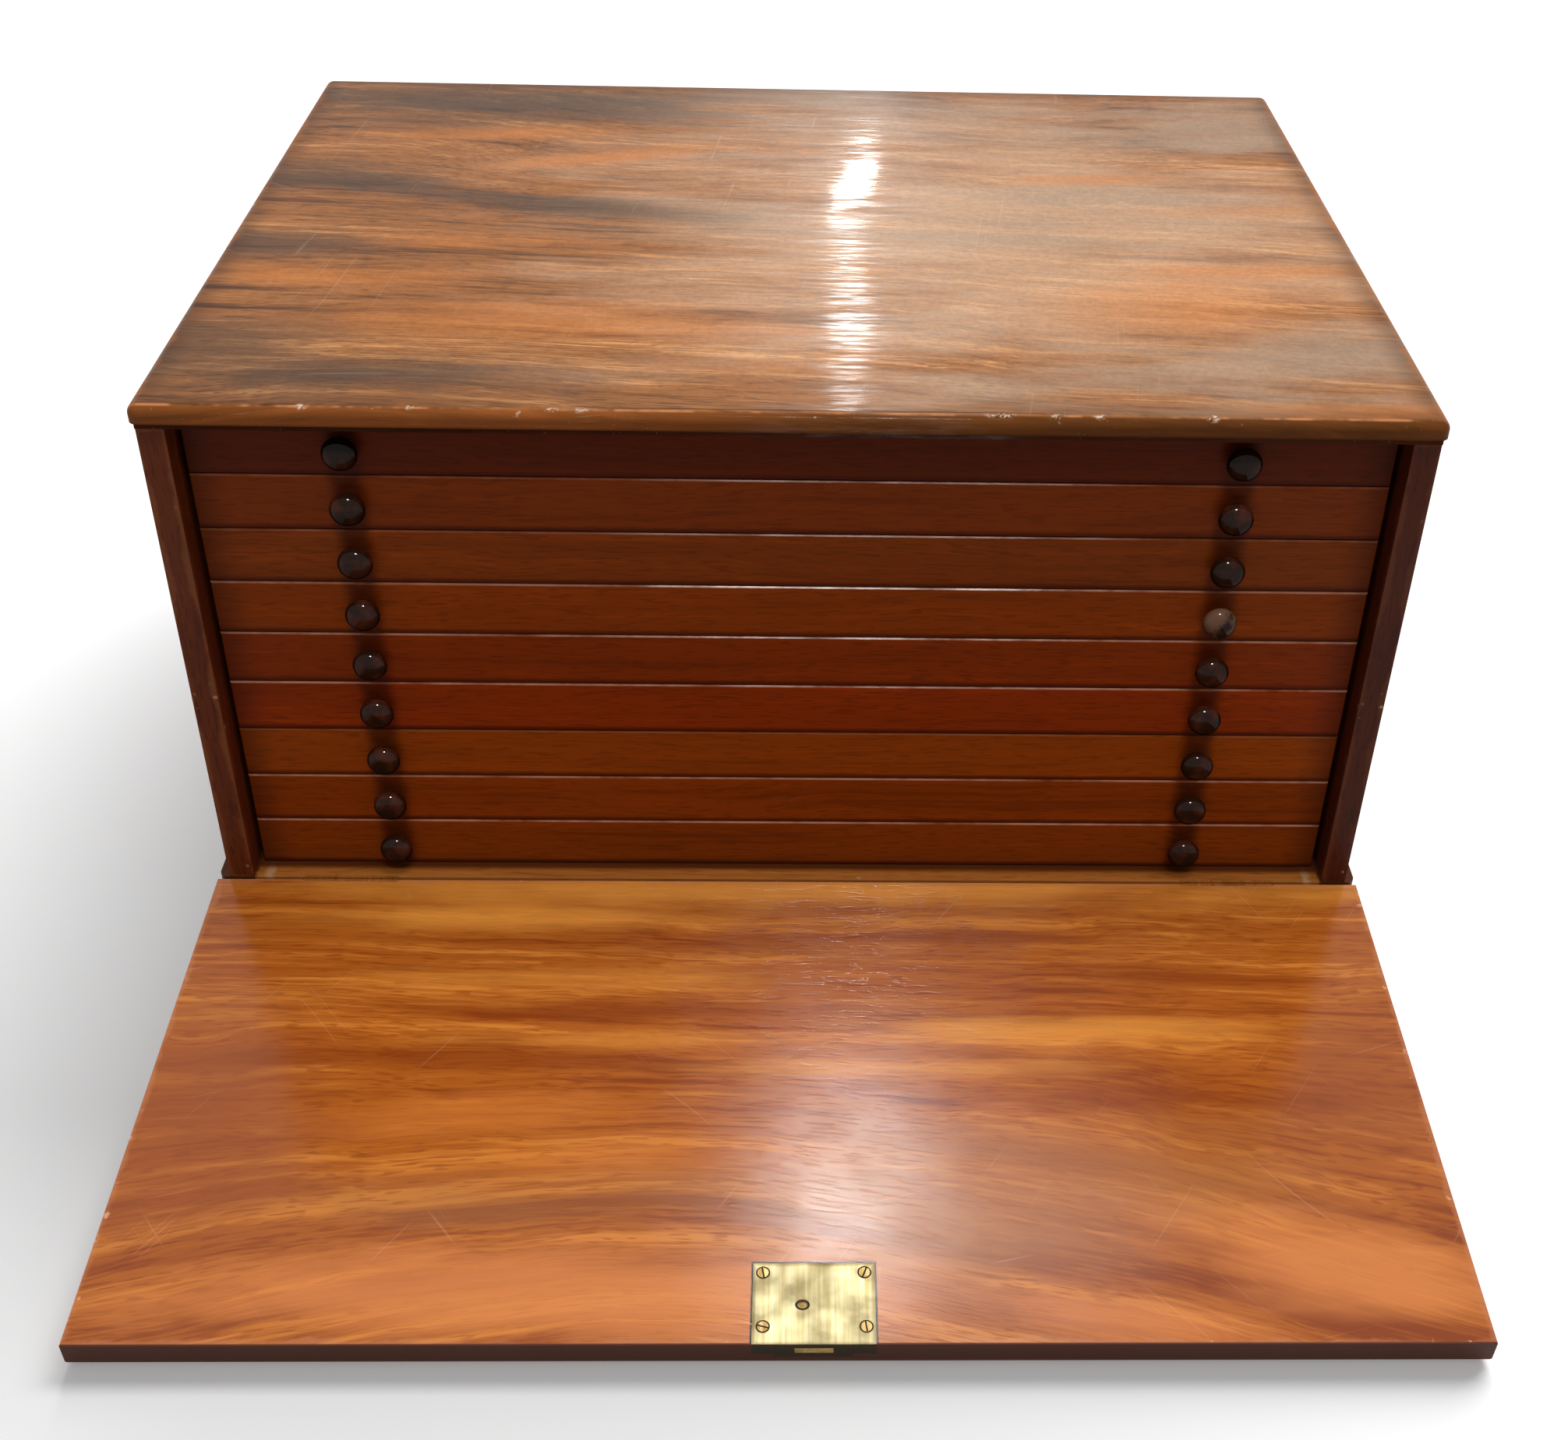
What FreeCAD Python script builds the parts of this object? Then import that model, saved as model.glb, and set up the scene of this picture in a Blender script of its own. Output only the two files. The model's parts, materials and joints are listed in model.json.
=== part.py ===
"""Table-top coin collector's cabinet: a mahogany carcase with nine shallow coin trays behind a fall front.

Frame: +Z up, the cabinet faces -Y, the origin is the centre of the plinth's underside. Millimetres.
The fall front is drawn open. Its pieces are drawn flat, with the hinge axis as their X axis and the inner
face up, and their Placement swings them down until the free edge hangs just clear of the table.
"""
import FreeCAD, Part
import os

import Sketcher
from FreeCAD import Placement, Rotation, Vector

DRAWER_COUNT = 9
# Coin cells of each tray, from the top drawer down: across the tray, and from front to back.
COIN_CELLS = [(5, 4), (5, 4), (5, 4), (5, 3), (5, 3), (4, 3), (4, 3), (4, 2), (4, 2)]

SIZES = {
    # carcase
    "carcase_width": 360.0,
    "carcase_depth": 262.3,
    "opening_height": 161.6,
    "side_thickness": 7.7,
    "side_inset": 0.2,
    "back_thickness": 6.0,
    "back_rebate": 3.8,
    # top board: its upper part is a lip that runs over the closed fall front
    "top_thickness": 9.35,
    "lip_thickness": 5.4,
    "lip_reach": 5.0,
    "top_rounding": 3.0,
    # base board and plinth
    "base_thickness": 9.3,
    "base_reach": 3.2,
    "base_rounding": 2.8,
    "plinth_height": 9.3,
    "plinth_setback": 7.0,
    "plinth_rounding": 2.0,
    # fall front
    "flap_thickness": 9.15,
    "flap_gap": 0.2,
    "lip_gap": 0.6,
    "table_gap": 0.15,
    # butt hinges: the axis lies just under the flap's inner face
    "hinge_drop": 0.95,
    "hinge_length": 30.0,
    "hinge_offset": 141.0,
    "leaf_width": 7.0,
    "leaf_thickness": 0.8,
    "knuckle_radius": 0.9,
    "knuckle_gap": 0.1,
    "knuckle_clearance": 0.15,
    "pin_radius": 0.4,
    "pin_clearance": 0.05,
    # drawers
    "drawer_recess": 7.4,
    "drawer_joint": 0.4,
    "drawer_end_gap": 1.8,
    "drawer_rear_gap": 2.0,
    "front_thickness": 6.5,
    "front_arris": 0.35,
    "tray_thickness": 6.0,
    "tray_lift": 1.2,
    "tray_housing": 2.0,
    "tray_shoulder": 4.0,
    "baize_thickness": 0.8,
    "baize_margin": 3.0,
    "grid_height": 4.6,
    "grid_bar": 4.0,
    "grid_margin": 2.0,
    # runners: strips let into the sides, with grooves in the tray edges riding on them
    "runner_height": 2.4,
    "runner_bite": 2.4,
    "runner_housing": 1.0,
    "runner_play": 0.15,
    "runner_side_play": 0.4,
    "runner_front_gap": 0.4,
    # turned knobs
    "knob_offset": 126.4,
    "knob_radius": 5.1,
    "knob_neck_radius": 2.6,
    "knob_neck_length": 2.6,
    "knob_projection": 6.8,
    # lock, let into the fall front's inner face and free edge
    "lock_offset": 7.0,
    "lock_width": 32.0,
    "lock_height": 24.0,
    "cap_thickness": 1.0,
    "selvedge_width": 3.9,
    "selvedge_thickness": 1.2,
    "case_width": 20.4,
    "case_height": 19.0,
    "case_depth": 4.2,
    "key_offset": 3.0,
    "key_inset": 11.6,
    "key_pin_radius": 1.0,
    "key_hollow_radius": 2.9,
    "bolt_width": 10.0,
    "bolt_thickness": 2.0,
    "bolt_length": 7.0,
    "bolt_depth": 1.5,
    "bolt_throw": 3.5,
    "bolt_play": 0.1,
    "bolt_mortise_play": 0.3,
    "escutcheon_radius": 6.5,
    "escutcheon_thickness": 0.8,
    "keyhole_radius": 1.7,
    "keyhole_width": 1.6,
    "keyhole_length": 5.0,
}


def scoped(text):
    """The expression with each size's alias read from the sheet."""
    words = []
    word = ""
    for letter in text + " ":
        if letter.isalnum() or letter == "_":
            word += letter
            continue
        words.append("sizes." + word if word in SIZES else word)
        words.append(letter)
        word = ""
    return "".join(words).strip()


# Places and lengths that follow from the sizes, as expressions.
FRONT_PLANE = "(-carcase_depth / 2)"
BACK_PLANE = "(carcase_depth / 2)"
BASE_TOP = "(plinth_height + base_thickness)"
OPENING_TOP = f"({BASE_TOP} + opening_height)"
BOARD_WIDTH = "(carcase_width + 2 * base_reach)"
OPENING_WIDTH = "(carcase_width - 2 * side_inset - 2 * side_thickness)"
INNER_BACK = f"({BACK_PLANE} - back_thickness)"
PITCH = f"(opening_height / {DRAWER_COUNT})"
FRONT_HEIGHT = f"({PITCH} - drawer_joint)"
DRAWER_WIDTH = f"({OPENING_WIDTH} - 2 * drawer_end_gap)"
DRAWER_FACE = f"({FRONT_PLANE} + drawer_recess)"
DRAWER_INSIDE = f"({DRAWER_FACE} + front_thickness)"
TRAY_END = f"({INNER_BACK} - drawer_rear_gap)"
TRAY_TOP = "(tray_lift + tray_thickness)"
RUNNER_LIFT = "(tray_lift + (tray_thickness - runner_height) / 2)"
RUNNER_START = f"({DRAWER_INSIDE} + runner_front_gap)"
HINGE_Y = f"({FRONT_PLANE} - flap_gap - hinge_drop)"
HINGE_Z = f"({BASE_TOP} - hinge_drop)"
FLAP_HEIGHT = "(opening_height + top_thickness - lip_thickness + hinge_drop - lip_gap)"
KNUCKLE_LENGTH = "((hinge_length - 2 * knuckle_gap) / 3)"
HINGE_START = "(hinge_offset - hinge_length / 2)"
KEY_X = "(lock_offset - key_offset)"
KEY_Y = f"(key_inset - {FLAP_HEIGHT})"
OUTER_FACE = "(hinge_drop - flap_thickness)"


def droop_angle():
    """Angle below level at which the open flap's rounded lower edge hangs table_gap above the table."""
    reach = f"({FLAP_HEIGHT} - base_rounding)"
    depth = "(flap_thickness - hinge_drop - base_rounding)"
    fall = f"({HINGE_Z} - base_rounding - table_gap)"
    return f"asin({fall} / sqrt({reach} ^ 2 + {depth} ^ 2)) - atan({depth} / {reach})"


def make_sheet(doc):
    sheet = doc.addObject("Spreadsheet::Sheet", "sizes")
    for row, (alias, value) in enumerate(SIZES.items(), start=1):
        sheet.set(f"A{row}", alias)
        sheet.set(f"B{row}", str(value))
        sheet.setAlias(f"B{row}", alias)
    doc.recompute()


def new_body(doc, label):
    body = doc.addObject("PartDesign::Body", label)
    body.Label = label
    body.AllowCompound = True
    return body


def place(body, x="0", y="0", z="0"):
    for axis, text in (("x", x), ("y", y), ("z", z)):
        body.setExpression(f"Placement.Base.{axis}", scoped(text))


def hang_on_hinge(body):
    """Places a piece of the fall front: drawn flat about the hinge axis, swung down to the open rest."""
    body.Placement = Placement(Vector(0, 0, 0), Rotation(Vector(1, 0, 0), 1))
    place(body, y=HINGE_Y, z=HINGE_Z)
    body.setExpression("Placement.Rotation.Angle", scoped(droop_angle()))


def origin_feature(body, role):
    return next(item for item in body.Origin.OriginFeatures if item.Role == role)


def new_sketch(body, name, plane, x="0", y="0", z="0", turn=0.0):
    """A sketch on an origin plane, shifted along the sketch's own axes and turned in its plane."""
    sketch = body.newObject("Sketcher::SketchObject", name)
    sketch.AttachmentSupport = [(origin_feature(body, plane), "")]
    sketch.MapMode = "FlatFace"
    sketch.AttachmentOffset = Placement(Vector(0, 0, 0), Rotation(Vector(0, 0, 1), turn))
    for axis, text in (("x", x), ("y", y), ("z", z)):
        sketch.setExpression(f"AttachmentOffset.Base.{axis}", scoped(text))
    return sketch


def pin_point(sketch, curve, end, x, y):
    """Holds one end of a sketch curve at the place that two expressions give."""
    for kind, text in (("DistanceX", x), ("DistanceY", y)):
        value = number(sketch, text)
        index = sketch.addConstraint(Sketcher.Constraint(kind, -1, 1, curve, end, value))
        sketch.setExpression(f"Constraints[{index}]", scoped(text))


def number(sketch, text):
    value = sketch.evalExpression(scoped(text))
    return float(getattr(value, "Value", value))


def add_polygon(sketch, corners):
    """A closed outline through corners, each held at the place its two expressions give."""
    spots = [Vector(number(sketch, x), number(sketch, y), 0) for x, y in corners]
    first = sketch.GeometryCount
    count = len(corners)
    for index in range(count):
        sketch.addGeometry(Part.LineSegment(spots[index], spots[(index + 1) % count]))
    for index in range(count):
        following = first + (index + 1) % count
        sketch.addConstraint(Sketcher.Constraint("Coincident", first + index, 2, following, 1))
        pin_point(sketch, first + index, 1, *corners[index])


def add_rectangle(sketch, left, bottom, right, top):
    add_polygon(sketch, [(left, bottom), (right, bottom), (right, top), (left, top)])


def add_circle(sketch, x, y, radius):
    centre = Vector(number(sketch, x), number(sketch, y), 0)
    curve = sketch.addGeometry(Part.Circle(centre, Vector(0, 0, 1), number(sketch, radius)))
    pin_point(sketch, curve, 3, x, y)
    index = sketch.addConstraint(Sketcher.Constraint("Radius", curve, number(sketch, radius)))
    sketch.setExpression(f"Constraints[{index}]", scoped(radius))


def pad(body, name, sketch, length):
    feature = body.newObject("PartDesign::Pad", name)
    feature.Profile = sketch
    feature.setExpression("Length", scoped(length))
    return feature


def pocket(body, name, sketch, length):
    """Cuts along the sketch's normal, the way a pad from the same sketch would grow."""
    feature = body.newObject("PartDesign::Pocket", name)
    feature.Profile = sketch
    feature.Reversed = True
    feature.setExpression("Length", scoped(length))
    return feature


def block(body, name, low, high):
    """A pad over a rectangle in plan, from the low corner to the high corner."""
    sketch = new_sketch(body, name + "_plan", "XY_Plane", z=low[2])
    add_rectangle(sketch, low[0], low[1], high[0], high[1])
    return pad(body, name, sketch, f"({high[2]}) - ({low[2]})")


def recess(body, name, low, high):
    """A pocket over a rectangle in plan, from the low corner to the high corner."""
    sketch = new_sketch(body, name + "_plan", "XY_Plane", z=low[2])
    add_rectangle(sketch, low[0], low[1], high[0], high[1])
    return pocket(body, name, sketch, f"({high[2]}) - ({low[2]})")


def mirror_in_x(body, name, features):
    """The features again on the other side of the cabinet's middle plane."""
    mirrored = body.newObject("PartDesign::Mirrored", name)
    mirrored.Originals = features
    mirrored.MirrorPlane = (origin_feature(body, "YZ_Plane"), [""])
    body.Tip = mirrored
    return mirrored


def edges_of(feature, wanted):
    """Names of the edges whose middle point and direction pass the test."""
    feature.Document.recompute()
    names = []
    for index, edge in enumerate(feature.Shape.Edges, start=1):
        middle = edge.valueAt((edge.FirstParameter + edge.LastParameter) / 2)
        direction = edge.tangentAt(edge.FirstParameter)
        if wanted(middle, direction):
            names.append(f"Edge{index}")
    return names


def round_edges(body, name, feature, radius, wanted):
    fillet = body.newObject("PartDesign::Fillet", name)
    fillet.Base = (feature, edges_of(feature, wanted))
    fillet.setExpression("Radius", scoped(radius))
    return fillet


def is_upright(direction):
    return abs(direction.z) > 0.99


def make_top_board(doc):
    """A board rebated along the front, with its lip and every upper edge rounded over."""
    body = new_body(doc, "top_board")
    sketch = new_sketch(body, "section", "YZ_Plane", z="-carcase_width / 2")
    lip_face = f"{FRONT_PLANE} - lip_reach"
    lip_height = "top_thickness - lip_thickness"
    add_polygon(sketch, [
        (FRONT_PLANE, "0"),
        (BACK_PLANE, "0"),
        (BACK_PLANE, "top_thickness"),
        (lip_face, "top_thickness"),
        (lip_face, lip_height),
        (FRONT_PLANE, lip_height),
    ])
    board = pad(body, "board", sketch, "carcase_width")
    top = number(board, "top_thickness")
    rebate_face = number(board, FRONT_PLANE)

    def outer_edge(middle, direction):
        on_top = abs(middle.z - top) < 0.01
        return on_top or (is_upright(direction) and abs(middle.y - rebate_face) > 1.0)

    round_edges(body, "rounding", board, "top_rounding", outer_edge)
    bolt_face = f"{FRONT_PLANE} - flap_gap - bolt_depth"
    recess(
        body, "bolt_mortise",
        ("lock_offset - bolt_width / 2 - bolt_mortise_play",
         f"{bolt_face} - bolt_thickness - bolt_mortise_play",
         lip_height),
        ("lock_offset + bolt_width / 2 + bolt_mortise_play",
         f"{bolt_face} + bolt_mortise_play",
         f"{lip_height} + bolt_throw - lip_gap + bolt_mortise_play"),
    )
    place(body, z=OPENING_TOP)


def make_base_board(doc):
    """The board the sides stand on, as wide as the fall front, let in for the hinges along its front."""
    body = new_body(doc, "base_board")
    board = block(
        body, "board",
        (f"-{BOARD_WIDTH} / 2", FRONT_PLANE, "0"),
        (f"{BOARD_WIDTH} / 2", BACK_PLANE, "base_thickness"),
    )

    round_edges(body, "rounding", board, "base_rounding", lambda middle, way: is_upright(way))
    axis_height = "base_thickness - hinge_drop"
    leaf_bed = recess(
        body, "leaf_bed",
        (HINGE_START, FRONT_PLANE, f"{axis_height} - leaf_width"),
        (f"{HINGE_START} + hinge_length", f"{FRONT_PLANE} + leaf_thickness", "base_thickness"),
    )
    knuckle_bed = cut_knuckle_bed(body, HINGE_Y, axis_height)
    mirror_in_x(body, "other_hinge", [leaf_bed, knuckle_bed])
    place(body, z="plinth_height")


def cut_knuckle_bed(body, axis_y, axis_z):
    """A round-bottomed notch that a hinge's knuckles turn in."""
    sketch = new_sketch(body, "knuckle_bed_end", "YZ_Plane", z=f"{HINGE_START} - knuckle_clearance")
    add_circle(sketch, axis_y, axis_z, "knuckle_radius + knuckle_clearance")
    return pocket(body, "knuckle_bed", sketch, "hinge_length + 2 * knuckle_clearance")


def make_plinth(doc):
    """The low board under the base, set back all round, that the cabinet stands on."""
    body = new_body(doc, "plinth_board")
    half_width = f"({BOARD_WIDTH} / 2 - plinth_setback)"
    board = block(
        body, "board",
        (f"-{half_width}", f"{FRONT_PLANE} + plinth_setback", "0"),
        (half_width, f"{BACK_PLANE} - plinth_setback", "plinth_height"),
    )
    round_edges(body, "rounding", board, "plinth_rounding", lambda middle, way: is_upright(way))
    place(body)


def make_side(doc, label, side):
    """An upright panel, rebated for the back, with a shallow housing for each runner. side is -1 or 1."""
    body = new_body(doc, label)
    outer = f"{side} * (carcase_width / 2 - side_inset)"
    inner = f"{side} * {OPENING_WIDTH} / 2"
    rebated = f"{side} * ({OPENING_WIDTH} / 2 + back_rebate)"
    sketch = new_sketch(body, "plan", "XY_Plane")
    add_polygon(sketch, [
        (outer, FRONT_PLANE),
        (inner, FRONT_PLANE),
        (inner, INNER_BACK),
        (rebated, INNER_BACK),
        (rebated, BACK_PLANE),
        (outer, BACK_PLANE),
    ])
    pad(body, "panel", sketch, "opening_height")
    housed = f"{side} * ({OPENING_WIDTH} / 2 + runner_housing)"
    low_x, high_x = (housed, inner) if side < 0 else (inner, housed)
    lift = f"drawer_joint / 2 + {RUNNER_LIFT}"
    housing = recess(
        body, "runner_housing",
        (low_x, RUNNER_START, lift),
        (high_x, INNER_BACK, f"{lift} + runner_height"),
    )
    pattern = body.newObject("PartDesign::LinearPattern", "runner_housings")
    pattern.Originals = [housing]
    pattern.Direction = (origin_feature(body, "Z_Axis"), [""])
    pattern.Occurrences = DRAWER_COUNT
    pattern.setExpression("Length", scoped(f"{PITCH} * {DRAWER_COUNT - 1}"))
    body.Tip = pattern
    place(body, z=BASE_TOP)


def make_back_panel(doc):
    body = new_body(doc, "back_panel")
    half_width = f"({OPENING_WIDTH} / 2 + back_rebate)"
    block(body, "panel", (f"-{half_width}", INNER_BACK, "0"), (half_width, BACK_PLANE, "opening_height"))
    place(body, z=BASE_TOP)


def make_runners(doc):
    """Strips along both sides of every drawer's space, from behind its front to the back panel."""
    body = new_body(doc, "drawer_runners")
    outer = f"({OPENING_WIDTH} / 2 + runner_housing)"
    inner = f"({DRAWER_WIDTH} / 2 - runner_bite)"
    lift = f"drawer_joint / 2 + {RUNNER_LIFT}"
    strip = block(body, "strip", (inner, RUNNER_START, lift), (outer, INNER_BACK, f"{lift} + runner_height"))
    sketch = new_sketch(body, "left_plan", "XY_Plane", z=lift)
    add_rectangle(sketch, f"-{outer}", RUNNER_START, f"-{inner}", INNER_BACK)
    left_strip = pad(body, "left_strip", sketch, "runner_height")
    pattern = body.newObject("PartDesign::LinearPattern", "strips")
    pattern.Originals = [strip, left_strip]
    pattern.Direction = (origin_feature(body, "Z_Axis"), [""])
    pattern.Occurrences = DRAWER_COUNT
    pattern.setExpression("Length", scoped(f"{PITCH} * {DRAWER_COUNT - 1}"))
    body.Tip = pattern
    place(body, z=BASE_TOP)


def make_fall_front(doc):
    """The flap, rounded round its outer face, let in for its hinges, lock and escutcheon."""
    body = new_body(doc, "fall_front")
    board = block(
        body, "board",
        (f"-{BOARD_WIDTH} / 2", f"-{FLAP_HEIGHT}", OUTER_FACE),
        (f"{BOARD_WIDTH} / 2", "0", "hinge_drop"),
    )
    outer_face = number(board, OUTER_FACE)


    def outer_edge(middle, direction):
        return abs(middle.z - outer_face) < 0.01

    round_edges(body, "rounding", board, "base_rounding", outer_edge)
    leaf_bed = recess(
        body, "leaf_bed",
        (HINGE_START, "-leaf_thickness", "-leaf_width"),
        (f"{HINGE_START} + hinge_length", "0", "hinge_drop"),
    )
    knuckle_bed = cut_knuckle_bed(body, "0", "0")
    mirror_in_x(body, "other_hinge", [leaf_bed, knuckle_bed])
    recess(body, "cap_bed", *lock_box("lock_width", "lock_height", "cap_thickness"))
    recess(body, "selvedge_bed", *lock_box("lock_width", "selvedge_thickness", "selvedge_width"))
    recess(body, "case_bed", *lock_box("case_width", "case_height", "(cap_thickness + case_depth)"))
    inlay = new_sketch(body, "escutcheon_bed_plan", "XY_Plane", z=OUTER_FACE)
    add_circle(inlay, KEY_X, KEY_Y, "escutcheon_radius")
    pocket(body, "escutcheon_bed", inlay, "escutcheon_thickness")
    cut_keyhole(body, OUTER_FACE, "flap_thickness - cap_thickness - case_depth")
    hang_on_hinge(body)


def lock_box(width, height, depth):
    """Low and high corners of a box let in from the inner face at the free edge, centred on the lock."""
    low = (f"lock_offset - {width} / 2", f"-{FLAP_HEIGHT}", f"hinge_drop - {depth}")
    high = (f"lock_offset + {width} / 2", f"{height} - {FLAP_HEIGHT}", "hinge_drop")
    return low, high


def cut_keyhole(body, start, length):
    """The key's way in: a round hole with a slot for the bit towards the hinge."""
    hole = new_sketch(body, "keyhole_plan", "XY_Plane", z=start)
    add_circle(hole, KEY_X, KEY_Y, "keyhole_radius")
    pocket(body, "keyhole", hole, length)
    slot = new_sketch(body, "key_slot_plan", "XY_Plane", z=start)
    add_rectangle(
        slot,
        f"{KEY_X} - keyhole_width / 2", KEY_Y,
        f"{KEY_X} + keyhole_width / 2", f"{KEY_Y} + keyhole_length",
    )
    pocket(body, "key_slot", slot, length)


def hinge_cylinder(body, name, start, length, radius, axis_y, axis_z, cut=False):
    sketch = new_sketch(body, name + "_end", "YZ_Plane", z=start)
    add_circle(sketch, axis_y, axis_z, radius)
    make = pocket if cut else pad
    return make(body, name, sketch, length)


def make_base_leaves(doc):
    """The fixed half of each hinge: a leaf on the base board with the two outer knuckles."""
    body = new_body(doc, "hinge_base_leaves")
    axis = ("0", "0")
    face = "(flap_gap + hinge_drop)"
    leaf = block(
        body, "leaf",
        (HINGE_START, face, "-leaf_width"),
        (f"{HINGE_START} + hinge_length", f"{face} + leaf_thickness", "hinge_drop"),
    )
    roll = hinge_cylinder(body, "knuckles", HINGE_START, "hinge_length", "knuckle_radius", *axis)
    wrap = block(
        body, "wrap",
        (HINGE_START, "0", "-knuckle_radius"),
        (f"{HINGE_START} + hinge_length", face, "leaf_thickness - knuckle_radius"),
    )
    gap = hinge_cylinder(
        body, "knuckle_space", f"{HINGE_START} + {KNUCKLE_LENGTH}",
        f"{KNUCKLE_LENGTH} + 2 * knuckle_gap", "knuckle_radius + knuckle_clearance", *axis, cut=True,
    )
    bore = hinge_cylinder(
        body, "bore", HINGE_START, "hinge_length", "pin_radius + pin_clearance", *axis, cut=True,
    )
    mirror_in_x(body, "other_hinge", [leaf, roll, wrap, gap, bore])
    place(body, y=HINGE_Y, z=HINGE_Z)


def make_flap_leaves(doc):
    """The moving half of each hinge: a leaf on the flap's lower edge with the middle knuckle."""
    body = new_body(doc, "hinge_flap_leaves")
    axis = ("0", "0")
    leaf = block(
        body, "leaf",
        (HINGE_START, "-leaf_thickness", "-leaf_width"),
        (f"{HINGE_START} + hinge_length", "0", "hinge_drop"),
    )
    middle = f"{HINGE_START} + {KNUCKLE_LENGTH} + knuckle_gap"
    outer_length = f"{KNUCKLE_LENGTH} + knuckle_gap"
    clear = "knuckle_radius + knuckle_clearance"
    near_gap = hinge_cylinder(body, "near_space", HINGE_START, outer_length, clear, *axis, cut=True)
    far_start = f"{middle} + {KNUCKLE_LENGTH}"
    far_gap = hinge_cylinder(body, "far_space", far_start, outer_length, clear, *axis, cut=True)
    roll = hinge_cylinder(body, "knuckle", middle, KNUCKLE_LENGTH, "knuckle_radius", *axis)
    bore = hinge_cylinder(
        body, "bore", middle, KNUCKLE_LENGTH, "pin_radius + pin_clearance", *axis, cut=True,
    )
    mirror_in_x(body, "other_hinge", [leaf, near_gap, far_gap, roll, bore])
    hang_on_hinge(body)


def make_hinge_pins(doc):
    body = new_body(doc, "hinge_pins")
    pin = hinge_cylinder(body, "pin", HINGE_START, "hinge_length", "pin_radius", "0", "0")
    mirror_in_x(body, "other_pin", [pin])
    place(body, y=HINGE_Y, z=HINGE_Z)


def make_lock_case(doc):
    """Cap plate, selvedge and case in one, with the bolt's way, the key's hollow and the key pin."""
    body = new_body(doc, "lock_case")
    block(body, "cap", *lock_box("lock_width", "lock_height", "cap_thickness"))
    block(body, "selvedge", *lock_box("lock_width", "selvedge_thickness", "selvedge_width"))
    block(body, "case", *lock_box("case_width", "case_height", "(cap_thickness + case_depth)"))
    recess(
        body, "bolt_way",
        ("lock_offset - bolt_width / 2 - bolt_play", f"-{FLAP_HEIGHT}",
         "hinge_drop - bolt_depth - bolt_thickness - bolt_play"),
        ("lock_offset + bolt_width / 2 + bolt_play", f"bolt_length + bolt_play - {FLAP_HEIGHT}",
         "hinge_drop - bolt_depth + bolt_play"),
    )
    case_back = "hinge_drop - cap_thickness - case_depth"
    hollow = new_sketch(body, "hollow_plan", "XY_Plane", z=case_back)
    add_circle(hollow, KEY_X, KEY_Y, "key_hollow_radius")
    add_circle(hollow, KEY_X, KEY_Y, "key_pin_radius")
    pocket(body, "hollow", hollow, "case_depth")
    hang_on_hinge(body)


def make_lock_bolt(doc):
    body = new_body(doc, "lock_bolt")
    block(
        body, "bolt",
        ("lock_offset - bolt_width / 2", f"-{FLAP_HEIGHT}", "hinge_drop - bolt_depth - bolt_thickness"),
        ("lock_offset + bolt_width / 2", f"bolt_length - {FLAP_HEIGHT}", "hinge_drop - bolt_depth"),
    )
    hang_on_hinge(body)


def make_escutcheon(doc):
    body = new_body(doc, "escutcheon")
    disc = new_sketch(body, "disc_plan", "XY_Plane", z=OUTER_FACE)
    add_circle(disc, KEY_X, KEY_Y, "escutcheon_radius")
    pad(body, "disc", disc, "escutcheon_thickness")
    cut_keyhole(body, OUTER_FACE, "escutcheon_thickness")
    hang_on_hinge(body)


def drawer_height(drawer):
    """Height of the underside of a drawer's front; drawer 1 is at the top."""
    return f"{OPENING_TOP} - {drawer} * {PITCH} + drawer_joint / 2"


def make_drawer_front(doc, drawer):
    """A front with softened arrises and a stopped housing for the tray along its back."""
    body = new_body(doc, f"drawer_front_{drawer:02d}")
    half_width = f"({DRAWER_WIDTH} / 2)"
    board = block(
        body, "board",
        (f"-{half_width}", DRAWER_FACE, "0"),
        (half_width, DRAWER_INSIDE, FRONT_HEIGHT),
    )
    face = number(board, DRAWER_FACE)
    arrises = body.newObject("PartDesign::Chamfer", "arrises")
    arrises.Base = (board, edges_of(board, lambda middle, way: abs(middle.y - face) < 0.01))
    arrises.setExpression("Size", scoped("front_arris"))
    recess(
        body, "tray_housing",
        (f"tray_shoulder - {half_width}", f"{DRAWER_INSIDE} - tray_housing", "tray_lift"),
        (f"{half_width} - tray_shoulder", DRAWER_INSIDE, TRAY_TOP),
    )
    place(body, z=drawer_height(drawer))


def make_drawer_knobs(doc, drawer):
    """Two turned knobs, each a plain neck seated on the front with a round head."""
    body = new_body(doc, f"drawer_knobs_{drawer:02d}")
    section = new_sketch(body, "section", "XY_Plane", "knob_offset", DRAWER_FACE, f"{FRONT_HEIGHT} / 2")
    add_polygon(section, [
        ("0", "-knob_projection"),
        ("0", "0"),
        ("knob_neck_radius", "0"),
        ("knob_neck_radius", "-knob_neck_length"),
        ("knob_radius", "-knob_neck_length"),
        ("knob_radius", "-knob_projection"),
    ])
    knob = body.newObject("PartDesign::Revolution", "knob")
    knob.Profile = section
    knob.ReferenceAxis = (section, ["V_Axis"])
    knob.Angle = 360
    mirror_in_x(body, "other_knob", [knob])
    place(body, z=drawer_height(drawer))


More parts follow.
